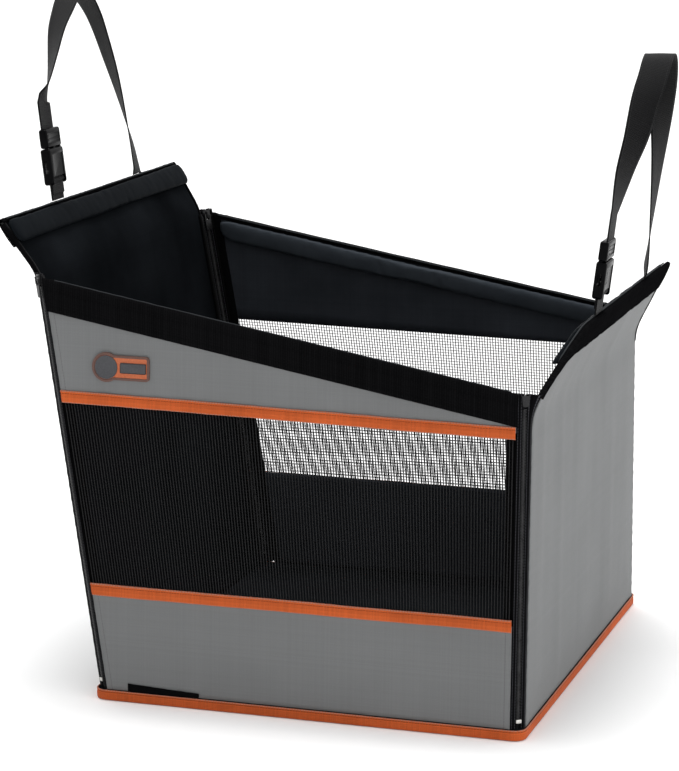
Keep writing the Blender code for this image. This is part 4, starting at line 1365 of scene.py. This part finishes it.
def flap_edge(end, curved_side):
    """Points of a flap's edge, from its low-x side to its high-x side, down the curved side."""
    low = end.reach(-1, end.top)
    high = end.reach(1, end.top)
    points = [Vector((low + (high - low) * i / flap_edge_steps, end.top)) for i in range(flap_edge_steps + 1)]
    if curved_side:
        curve = []
        for i in range(1, curved_edge_steps + 1):
            distance = end.top - (end.top - end.hold + curved_edge_tuck) * i / curved_edge_steps
            curve.append(Vector((end.reach(curved_side, distance), distance)))
        points = curve[::-1] + points if curved_side < 0 else points + curve
        points = smoothed(points, curved_edge_passes)
    return points


class Edge:
    """A line on an end wall's surface with places across it, inwards being to its right."""

    def __init__(self, end, points):
        self.end = end
        self.points = points
        self.lengths = profile_span(points)

    def spot(self, share, rise, depth):
        wanted = share * self.lengths[-1]
        i = 0
        while i < len(self.points) - 2 and self.lengths[i + 1] < wanted:
            i += 1
        part = (wanted - self.lengths[i]) / (self.lengths[i + 1] - self.lengths[i])
        here = self.points[i].lerp(self.points[i + 1], min(max(part, 0.0), 1.0))
        run = (self.points[min(i + 4, len(self.points) - 1)] - self.points[max(i - 3, 0)]).normalized()
        spot = here - Vector((run.y, -run.x)) * rise
        return self.end.point(spot.x, spot.y, depth)


def strip_place(edge, profile, width_at, ruffle_at, seed):
    lengths = profile_span(profile)

    def place(along, up):
        index = round(up * (len(profile) - 1))
        rise, depth = profile[index]
        width = width_at(along)
        wave = ripple_at(along * 95.0, seed, 0.0)
        slow = ripple_at(along * 12.0, seed, 3.0)
        shifted = rise * width + ease(rise, -0.012, 0.0) * (ruffle_at(along) * wave + 0.0004 * slow)
        if depth > 0.0012:
            depth += 0.0004 * ripple_at(along * 45.0, rise * 40.0, seed) + 0.0004 * slow
        return edge.spot(along, shifted, depth), (along * edge.lengths[-1], lengths[index] * width)

    return place


for end_name, end in end_walls.items():
    edge = Edge(end, flap_edge(end, 0 if end_name == "high" else -1))
    seed = band_seeds[end_name]
    roll_start = band_roll_starts[end_name]

    def width_at(share):
        return 1.0 if end_name == "high" else 0.03 + 0.97 * ease(share, 0.03, 0.23)

    def ruffle_at(share):
        return 0.0004 if end_name == "high" else 0.0004 + 0.0010 * ease(share, 0.08, 0.0)

    band = cloth_sheet(f"{end_name}_flap_webbing", rim_steps, len(band_profile) - 1,
                       strip_place(edge, band_profile, width_at, ruffle_at, seed), rim_thickness,
                       webbing_finish)
    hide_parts(f"{end_name}_end_band")
    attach(band, f"{end_name}_wall")

    def roll_spot(share, rise, depth):
        inset = roll_start + (0.993 - roll_start) * share
        return edge.spot(inset, rise * width_at(inset), depth)

    roll = closed_skin(f"{end_name}_flap_roll", roll_rings(roll_spot, band_roll, 0.022, seed),
                       near_padding_finish)
    stuff(roll, band_swell)
    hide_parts(f"{end_name}_end_pad")
    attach(roll, f"{end_name}_wall")

    rings = []
    for i in range(piping_steps + 1):
        share = roll_start + 0.013 + (0.967 - roll_start) * i / piping_steps
        rings.append([edge.spot(share, piping_drop + piping_radius * math.cos(turn),
                                piping_place[1] + piping_setback + piping_radius * math.sin(turn))
                      for turn in piping_turns])
    piping = closed_skin(f"{end_name}_flap_piping", rings, piping_highlight_finish)
    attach(piping, f"{end_name}_wall")

    start = end.kink + side_tape_start
    stop = end.top - side_tape_stop
    for side in ((-1, 1) if end_name == "high" else (1,)):
        marks = [start + (stop - start) * i / side_tape_steps for i in range(side_tape_steps + 1)]
        line = [Vector((end.reach(side, mark), mark)) for mark in marks]
        place = strip_place(Edge(end, line if side < 0 else line[::-1]), edge_tape_profile, lambda share: 1.0,
                            lambda share: 0.0003, seed + side)
        side_name = "near" if (side > 0) == (end_name == "high") else "far"
        tape = cloth_sheet(f"{end_name}_flap_side_{side_name}_tape", side_tape_columns,
                           len(edge_tape_profile) - 1, place, side_tape_thickness, tab_finish)
        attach(tape, f"{end_name}_wall")


# Corner zips
# A tape is sewn to each wall's side edge and carries a row of nylon teeth along the middle of the
# corner's chamfer. The tapes' other edges are turned in behind the linings and stitched there.

chain_split = 0.0012
zip_tape_thickness = 0.0008
zip_tape_steps = 150
zip_tape_pitch = (0.0010, 0.0008)
zip_tape_relief = 0.00010
zip_stitch_rows = (0.0042, 0.0078)
tape_turn_in = 0.0008
tape_wing = 0.0075
tape_extra = 0.0016
tape_foot = -0.0013
tape_foot_behind = 0.0004
tape_short_behind = 0.0060
tooth_pitch = 0.0016
tooth_reach = 0.0028
tooth_half_width = 0.00052
tooth_half_thickness = 0.0010
tooth_turns = [k * math.pi / 3 for k in range(6)]
stop_end = 0.0103
slider_length = 0.0120
slider_room = 0.001
plastic_relief = 0.00004

# The tooth's length as distances from the corner's middle with the share of its full thickness
tooth_stations = ((-0.00055, 0.80), (0.00030, 0.86), (0.00120, 1.00), (0.00200, 0.76), (tooth_reach, 0.60))

zip_tape_finish = woven_finish("black_zip_tape", black_thread, zip_tape_pitch, zip_tape_relief, 0.7, 0.05,
                               0.5, stitches=zip_stitch_rows, stitch_tone=14.0)


def plastic_finish(name, dark, pale, roughness, gloss):
    """Moulded plastic: a fine grain in the gloss and small scuffs."""
    return grained_finish(name, dark, pale, (90.0, 6.0, 0.7), plastic_relief,
                          (roughness - 0.07, roughness + 0.13, (0.3, 0.7)), gloss, (0.45, 0.75), (520.0, 4.0))


tooth_finish = plastic_finish("black_nylon_tooth", (0.006, 0.006, 0.007), (0.050, 0.050, 0.053), 0.30, 0.45)


class Corner:
    """A corner's frame: y up the zip, z outwards, x across it."""

    def __init__(self, x_side, y_side, end_lean, top_height):
        foot = Vector((x_side * base_half_x, y_side * base_half_y, hinge_height))
        up = Vector((x_side * math.tan(end_lean), y_side * math.tan(long_lean), 1.0)).normalized()
        long_normal = Vector((0.0, y_side * math.cos(long_lean), -math.sin(long_lean)))
        end_normal = Vector((x_side * math.cos(end_lean), 0.0, -math.sin(end_lean)))
        along_long = long_normal.cross(up).normalized()
        if along_long.x * x_side > 0:
            along_long.negate()
        along_end = end_normal.cross(up).normalized()
        if along_end.y * y_side > 0:
            along_end.negate()
        out = -(along_long + along_end).normalized()
        across = up.cross(out).normalized()
        self.long_side = 1 if across.dot(along_long - along_end) > 0 else -1
        self.half_width = corner_leg * (along_long - along_end).length / 2
        self.matrix = Matrix((across, up, out)).transposed().to_4x4()
        self.matrix.translation = foot + (along_long + along_end) * (corner_leg / 2)
        self.length = (top_height - hinge_height) / up.z


def tape_place(corner, sign, wall, wall_side, end, rim_slope, seed):
    """Across the tape: from the teeth to its outer edge, then in behind the wall's lining. Its top
    is cut off along the rim, whose slope away from the corner is given. Its foot reaches down
    inside the base's binding, so that no light shows below it."""
    flat = corner.half_width - tape_turn_in
    outline = [(chain_split / 2, 0.0004), (0.0032, 0.0005), (0.0050, 0.0005), (0.0056, 0.0009),
               (0.0062, 0.0005), (flat - 0.0004, 0.0005), (flat, 0.0001)]
    to_wall = wall.matrix.inverted() @ corner.matrix
    columns = len(outline) + 3

    def flared(point, share):
        """Carries a point along with an end wall's flap, as far as the share says."""
        if end is None:
            return point
        unbent = wall.matrix.inverted() @ point
        return point.lerp(end.point(unbent.x, unbent.y, unbent.z), share)

    def place(along, up):
        index = round(along * (columns - 1))
        if sign < 0:
            index = columns - 1 - index
        behind = index >= len(outline)
        across = outline[min(index, len(outline) - 1)][0]
        top = corner.length + tape_extra + rim_slope * across - (tape_short_behind if behind else 0.0)
        foot = tape_foot_behind if behind else tape_foot
        height = foot + (top - foot) * up
        frayed = ease(height, corner.length - 0.004, corner.length + tape_extra)
        wave = ripple_at(index * 0.9, height * 260.0, seed)
        if not behind:
            x, z = outline[index]
            ripple = 0.00025 * ripple_at(height * 60.0, seed, x * 300.0) * ease(x, 0.0052, 0.0064)
            lift = z + ripple + 0.0007 * frayed * wave
            point = corner.matrix @ Vector((sign * x, height + 0.0015 * frayed * wave, lift))
            return flared(point, ease(x, 0.0032, flat)), (height, x)
        step = index - len(outline)
        local = to_wall @ Vector((sign * flat, height, 0.0))
        edge = abs(wall.edge(wall_side, local.y, -lining_back))
        x, z = ((edge + 0.0042, -0.0030), (edge + 0.0012, -0.0045), (edge - tape_wing, -0.0043))[step]
        width = corner.half_width + (0.002, 0.004, 0.011)[step]
        point = wall.matrix @ Vector((wall_side * x, local.y + 0.0010 * frayed * wave, z))
        return flared(point, 1.0), (height, width)

    return place, columns - 1


def add_teeth(name, corner, sign, low, high, phase):
    """A row of nylon teeth, each a rounded bar with a thicker head at the middle of the corner."""
    shape = bmesh.new()
    section = [(math.cos(turn), math.sin(turn)) for turn in tooth_turns]
    for i in range(int((high - low) / tooth_pitch)):
        middle = low + (i + 0.5 * phase) * tooth_pitch
        add_bar(shape, [[corner.matrix @ Vector((sign * reach, middle + tooth_half_width * size * c,
                                                 tooth_half_thickness * size * s)) for c, s in section]
                        for reach, size in tooth_stations])
    bmesh.ops.recalc_face_normals(shape, faces=shape.faces)
    return new_piece(name, shape, tooth_finish)


corners = {}
for x_side, end_name, lean, top_height in ((-1, "high", high_lean, high_corner), (1, "low", 0.0, low_corner)):
    for y_side, side_name in ((-1, "near"), (1, "far")):
        corner = Corner(x_side, y_side, lean, top_height)
        corners[(side_name, end_name)] = corner
        long_wall = long_walls[side_name]
        long_wall_side = x_side if side_name == "near" else -x_side
        rim_slope = -rim_lines[side_name][1] * long_wall_side
        end = end_walls[end_name]
        end_wall_side = -y_side if end_name == "high" else y_side
        for kind, side, wall, wall_side, flap, slope, body in (
                ("long", 1, long_wall, long_wall_side, None, rim_slope, f"{side_name}_wall"),
                ("end", -1, end.wall, end_wall_side, end, 0.0, f"{end_name}_wall")):
            sign = corner.long_side * side
            seed = 71.0 + 3 * x_side + 5 * y_side + side
            place, columns = tape_place(corner, sign, wall, wall_side, flap, slope, seed)
            tape = cloth_sheet(f"{side_name}_{end_name}_{kind}_side_tape", columns, zip_tape_steps, place,
                               zip_tape_thickness, zip_tape_finish)
            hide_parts(f"{side_name}_{end_name}_zip_{kind}_tape")
            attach(tape, body)
            teeth = add_teeth(f"{side_name}_{end_name}_{kind}_side_teeth", corner, sign, stop_end,
                              corner.length - slider_length - slider_room, 0 if side > 0 else 1)
            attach(teeth, body)


# Sliders, pulls and stops
# Die-cast sliders painted black, worn bright in small spots, with stamped pulls, and a plain
# bright metal stop clamped over the foot of each zip.

wedge_height = 0.0030
wedge_clearance = 0.0020
channel_half_depth = 0.0013
slider_waist = 0.0028
slider_foot = 0.001
slider_foot_rise = 0.0012
slider_draw = 0.35
cast_round = 0.0003
stop_round = 0.0005
cast_merge = 0.000005
cast_flat_angle = math.radians(2.0)
metal_relief = 0.00003


def cut_away(block, spans):
    """Cuts a box-shaped opening out of the block."""
    opening = moulded_block("opening", spans)
    modify(block, "BOOLEAN", operation="DIFFERENCE", solver="EXACT", object=opening)
    bpy.data.objects.remove(opening)


def rounded_copy(node_name, name, width, material, shaping=None):
    """A piece on a node's own form, shaped further if need be, with its sharp edges rounded off."""
    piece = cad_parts[node_name].copy()
    piece.data = piece.data.copy()
    piece.name = name
    piece.parent = None
    scene.collection.objects.link(piece)
    for key in list(piece.keys()):
        if key.startswith("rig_"):
            del piece[key]
    piece.data.materials.clear()
    piece.data.materials.append(material)
    merge_doubles(piece, cast_merge)
    if shaping:
        shaping(piece)
    pick(piece, "FACE", lambda face: True)
    bpy.ops.mesh.dissolve_limited(angle_limit=cast_flat_angle)
    bpy.ops.object.mode_set(mode="OBJECT")
    round_off(piece, width, angle=30.0)
    return piece


def metal_finish(name, paint, bare, metallic, roughness):
    """Metal with a thin coat that has rubbed through in small spots."""
    return grained_finish(name, paint, bare, (620.0, 6.0, 0.7), metal_relief, (roughness, roughness + 0.25),
                          0.5, (0.58, 0.78), metallic=metallic)


def slider_shape(corner):
    """A shaping that clears a slider's channel up to its wedge, where the two rows of teeth part,
    and draws its plates in towards their lower ends."""
    foot = corner.length - slider_length
    unturned = corner.matrix.inverted()

    def shape(piece):
        piece.data.transform(unturned)
        cut_away(piece, ((-wedge_clearance, wedge_clearance),
                         (foot - wedge_height, foot + slider_length - wedge_height),
                         (-channel_half_depth, channel_half_depth)))
        piece.data.transform(corner.matrix)
        for vertex in piece.data.vertices:
            spot = unturned @ vertex.co
            if spot.y < foot + slider_foot and abs(spot.x) > slider_waist:
                spot.x = math.copysign(slider_waist + (abs(spot.x) - slider_waist) * slider_draw, spot.x)
                spot.y += slider_foot_rise
                vertex.co = corner.matrix @ spot

    return shape


slider_finish = metal_finish("black_painted_metal", (0.010, 0.010, 0.011), (0.120, 0.120, 0.125), 0.5, 0.30)
stop_finish = metal_finish("bright_stop_metal", (0.600, 0.590, 0.560), (0.300, 0.290, 0.270), 1.0, 0.25)
for (side_name, end_name), corner in corners.items():
    zip_name = f"{side_name}_{end_name}"
    for part_name, finish, body, width, slot_name, shaping in (
            ("slider", slider_finish, f"{zip_name}_slider", cast_round, "zip_metal", slider_shape(corner)),
            ("pull", slider_finish, f"{zip_name}_pull", cast_round, "zip_metal", None),
            ("stop", stop_finish, f"{end_name}_wall", stop_round, "stop_metal", None)):
        piece = rounded_copy(f"{zip_name}_zip_{part_name}", f"{zip_name}_metal_{part_name}", width, finish,
                             shaping)
        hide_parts(f"{zip_name}_zip_{part_name}")
        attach(piece, body)


# Straps
# A long loop of flat black webbing hangs each end from the seat. Its near leg runs down through the
# side-release buckle, and its far end is sewn behind the flap's edge.

webbing_width = 0.0320
webbing_thickness = 0.0014
strap_span = 0.2400
strap_lean = math.radians(7.0)
webbing_start = 0.0620
webbing_straight_end = 0.1092
webbing_offset = 0.0022
strap_edges = {"high": Vector((-0.350029, 0.015, 0.526058)), "low": Vector((0.275368, 0.015, 0.429934))}
strap_rises = {"high": 0.2235, "low": 0.2665}
leg_sways = {"high": -0.0055, "low": 0.0055}
far_twists = {"high": 12.0, "low": -18.0}
strap_sides = {"high": -1, "low": 1}
straight_steps = 10
curve_steps = 170
strap_columns = 12

# Shares of half the span and of the rise for the loop above its straight leg, with its turn
loop_route_shares = (
    (-0.93, 0.078, 0.56, 22.0),
    (-0.80, 0.096, 0.70, 38.0),
    (-0.62, 0.112, 0.83, 52.0),
    (-0.42, 0.123, 0.92, 63.0),
    (-0.18, 0.130, 0.985, 71.0),
    (0.05, 0.132, 1.00, 73.0),
    (0.26, 0.128, 0.965, 70.0),
    (0.43, 0.116, 0.88, 60.0),
    (0.56, 0.102, 0.77, 49.0),
    (0.70, 0.082, 0.61, 37.0),
    (0.81, 0.060, 0.45, 25.0),
    (0.91, 0.036, 0.27, 13.0),
    (0.98, 0.018, 0.13, 4.0),
    (1.00, 0.005, 0.04, 0.0),
)

strap_pitch = (0.0024, 0.0014)
strap_stitch_rows = (0.0138, -0.0138)
strap_crown = 0.00018
strap_finish = woven_finish("black_strap_webbing", black_thread, strap_pitch, rib_relief, 0.62, 0.10, 0.6,
                            0.05, stitches=strap_stitch_rows, stitch_tone=2.2)


def curve_point(points, position):
    """A point of a smooth curve through all the points."""
    i = min(int(position), len(points) - 2)
    t = position - i
    around = (points[max(i - 1, 0)], points[i], points[i + 1], points[min(i + 2, len(points) - 1)])
    return [0.5 * (2 * b + (c - a) * t + (2 * a - 5 * b + 4 * c - d) * t * t
                   + (3 * b - a - 3 * c + d) * t * t * t) for a, b, c, d in zip(*around)]


def leg_point(height):
    """A place on the near leg: along the flap's edge, outwards and up from its middle, and the turn."""
    return [-strap_span / 2, height * math.sin(strap_lean) + webbing_offset * math.cos(strap_lean),
            height * math.cos(strap_lean) - webbing_offset * math.sin(strap_lean), 0.0]


for end_name, side in strap_sides.items():
    rise = strap_rises[end_name]
    root = strap_edges[end_name]
    route = [leg_point(webbing_straight_end)]
    for along, out, up, turn in loop_route_shares:
        from_leg = ease(along, 0.2, -0.5)
        sway = leg_sways[end_name] * ease(along, -1.0, -0.80) * from_leg
        turn += far_twists[end_name] * ease(along, 0.40, 0.80)
        route.append([(along + 0.05 * from_leg) * strap_span / 2, out * rise + sway, up * rise,
                      math.radians(turn)])
    route.append([strap_span / 2, 0.0, -webbing_thickness / 2, math.radians(far_twists[end_name]) / 2])
    straight = webbing_straight_end - webbing_start
    samples = [leg_point(webbing_start + straight * i / straight_steps) for i in range(straight_steps)]
    samples += [curve_point(route, i / curve_steps * (len(route) - 1)) for i in range(curve_steps + 1)]
    centres = [root + Vector((side * out, along, up)) for along, out, up, turn in samples]
    last = len(centres) - 1
    runs = [(centres[i + 1] - centres[max(i - 1, 0)]).normalized() for i in range(last)]
    runs.append(Vector((0.0, 0.0, -1.0)))
    lengths = profile_span(centres)

    def strap_place(along, up):
        i = round(up * last)
        turn = samples[i][3]
        width = Vector((side * math.sin(turn), math.cos(turn), 0.0))
        width = (width - runs[i] * width.dot(runs[i])).normalized()
        through = runs[i].cross(width).normalized() * side
        across = (along - 0.5) * webbing_width * side
        crown = strap_crown * math.cos(math.pi * (along - 0.5) * 2.0)
        return centres[i] + width * across - through * (webbing_thickness / 2 + crown), (lengths[i], across)

    webbing = cloth_sheet(f"{end_name}_strap_loop", strap_columns, last, strap_place, webbing_thickness,
                          strap_finish)
    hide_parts(f"{end_name}_strap_webbing")
    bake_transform(webbing)


# Buckles
# A side-release buckle of glossy black moulded plastic closes each strap. Its socket hangs by a
# bar in a sewn loop of short webbing, and the plug's two prongs and guide sit in its mouth.

buckle_half_width = 0.0200
buckle_round = 0.0031
buckle_edge_round = 0.0004
cut_past = 0.0020
socket_low = 0.0170
socket_high = 0.0580
socket_half_depth = 0.0060
socket_wall = 0.0016
socket_panel = (0.0042, 0.0005)
pocket_low = 0.0300
window_top = 0.0450
window_half_depth = 0.0022
bar_height = 0.0220
bar_half = 0.0014
bar_slot_top = 0.0264
slot_half = 0.0166
plug_low = 0.0583
plug_high = 0.0803
plug_half_depth = 0.0050
plug_panel = (0.0034, 0.0004)
plug_top_shares = (0.91, 0.86)
plug_slot_faces = (0.0009, 0.0035)
plug_grooves = (0.0655, 0.0700, 0.0745)
groove_half = 0.0006
groove_depth = 0.0008
prong_faces = (-0.0041, 0.0006)
prong_span = (0.0343, 0.0593)
prong_outer = 0.0181
prong_width = 0.0040
prong_tip_share = 0.55
prong_round = 0.0009
prong_edge_round = 0.0005
guide_half = 0.0030
loop_outer = 0.0038
tail_end = 0.0060
end_reach = 0.0001
facing_least = 0.99

buckle_finish = plastic_finish("black_buckle_plastic", (0.0014, 0.0014, 0.0018), (0.0040, 0.0040, 0.0048),
                               0.16, 0.04)


def both_sides(half):
    """Limits at the same distance on both sides of the middle."""
    return -half, half


def sunk_panel(block, inset, depth):
    """Sinks a shallow panel into the block's broad front and back faces."""
    for front in (-1, 1):
        pick(block, "FACE", lambda face: face.normal.y * front > facing_least)
        bpy.ops.mesh.inset(thickness=inset)
        bpy.ops.mesh.inset(thickness=depth, depth=-depth)
        bpy.ops.object.mode_set(mode="OBJECT")


def finish_block(block, width):
    """Rounds the last sharp edges and gives the block its plastic."""
    round_off(block, width)
    block.data.materials.clear()
    block.data.materials.append(buckle_finish)


socket = moulded_block("buckle_socket", (both_sides(buckle_half_width), both_sides(socket_half_depth),
                                         (socket_low, socket_high)), buckle_round)
sunk_panel(socket, *socket_panel)
cut_away(socket, (both_sides(buckle_half_width - socket_wall), both_sides(socket_half_depth - socket_wall),
                  (pocket_low, socket_high + cut_past)))
cut_away(socket, (both_sides(buckle_half_width + cut_past), both_sides(window_half_depth),
                  (pocket_low, window_top)))
for front in (-1, 1):
    across = sorted((front * bar_half, front * (socket_half_depth + cut_past)))
    cut_away(socket, (both_sides(slot_half), across, (socket_low - cut_past, bar_slot_top)))
for heights in ((bar_height + bar_half, bar_slot_top), (socket_low - cut_past, bar_height - bar_half)):
    cut_away(socket, (both_sides(slot_half), both_sides(socket_half_depth + cut_past), heights))
finish_block(socket, buckle_edge_round)

plug = moulded_block("buckle_plug", (both_sides(buckle_half_width), both_sides(plug_half_depth),
                                     (plug_low, plug_high)), buckle_round)
for vertex in plug.data.vertices:
    if vertex.co.z > plug_high - end_reach:
        vertex.co.x *= plug_top_shares[0]
        vertex.co.y *= plug_top_shares[1]
sunk_panel(plug, *plug_panel)
cut_away(plug, (both_sides(slot_half), plug_slot_faces, (plug_low - cut_past, plug_high + cut_past)))
for groove in plug_grooves:
    for front in (-1, 1):
        across = sorted((front * (plug_half_depth - groove_depth), front * (plug_half_depth + cut_past)))
        cut_away(plug, (both_sides(slot_half), across, (groove - groove_half, groove + groove_half)))
finish_block(plug, buckle_edge_round)
prongs = []
for side in (-1, 1):
    inner = side * (prong_outer - prong_width)
    across = sorted((side * prong_outer, inner))
    prong = moulded_block("prong", (across, prong_faces, prong_span), prong_round)
    for vertex in prong.data.vertices:
        if vertex.co.z < prong_span[0] + end_reach:
            vertex.co.x = inner + (vertex.co.x - inner) * prong_tip_share
    prongs.append(prong)
prongs.append(moulded_block("prong", (both_sides(guide_half), prong_faces, prong_span), prong_round))
for prong in prongs:
    finish_block(prong, prong_edge_round)
join_up(plug, prongs)


def tail_outline():
    """The short webbing's outer face: up the front, round the bar and down the back, in (out, up)."""
    half = webbing_thickness / 2
    bend_foot = bar_height - loop_outer
    points = [(half, -half + (bend_foot + half) * i / 8) for i in range(9)]
    start = math.asin(min(2.4 * half / loop_outer, 1.0))
    for i in range(19):
        turn = -math.pi / 2 + start + (2 * math.pi - 2 * start) * i / 18
        points.append((loop_outer * math.cos(turn), bar_height + loop_outer * math.sin(turn)))
    back = -half - webbing_thickness
    points += [(back, bend_foot + (tail_end - bend_foot) * i / 6) for i in range(1, 7)]
    return points


outline = tail_outline()
outline_lengths = profile_span(outline)
for end_name, side in strap_sides.items():
    near_end = strap_edges[end_name] - Vector((0.0, strap_span / 2, 0.0))
    leg = (Matrix.Translation(near_end) @ Matrix.Rotation(-side * math.pi / 2, 4, "Z")
           @ Matrix.Rotation(-strap_lean, 4, "X"))
    for model, part_name, body in ((socket, "socket", f"{end_name}_strap"),
                                   (plug, "plug", f"{end_name}_plug")):
        piece = model.copy()
        piece.data = model.data.copy()
        piece.name = f"{end_name}_side_release_{part_name}"
        scene.collection.objects.link(piece)
        piece.data.transform(leg)
        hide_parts(f"{end_name}_strap_buckle_{part_name}")
        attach(piece, body)

    def tail_place(along, up):
        i = round(up * (len(outline) - 1))
        across = (0.5 - along) * webbing_width
        return leg @ Vector((across, *outline[i])), (outline_lengths[i], across)

    tail = cloth_sheet(f"{end_name}_strap_tail", strap_columns, len(outline) - 1, tail_place,
                       webbing_thickness, strap_finish)
    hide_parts(f"{end_name}_strap_short_webbing")
    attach(tail, f"{end_name}_strap")
for model in (socket, plug):
    bpy.data.objects.remove(model)
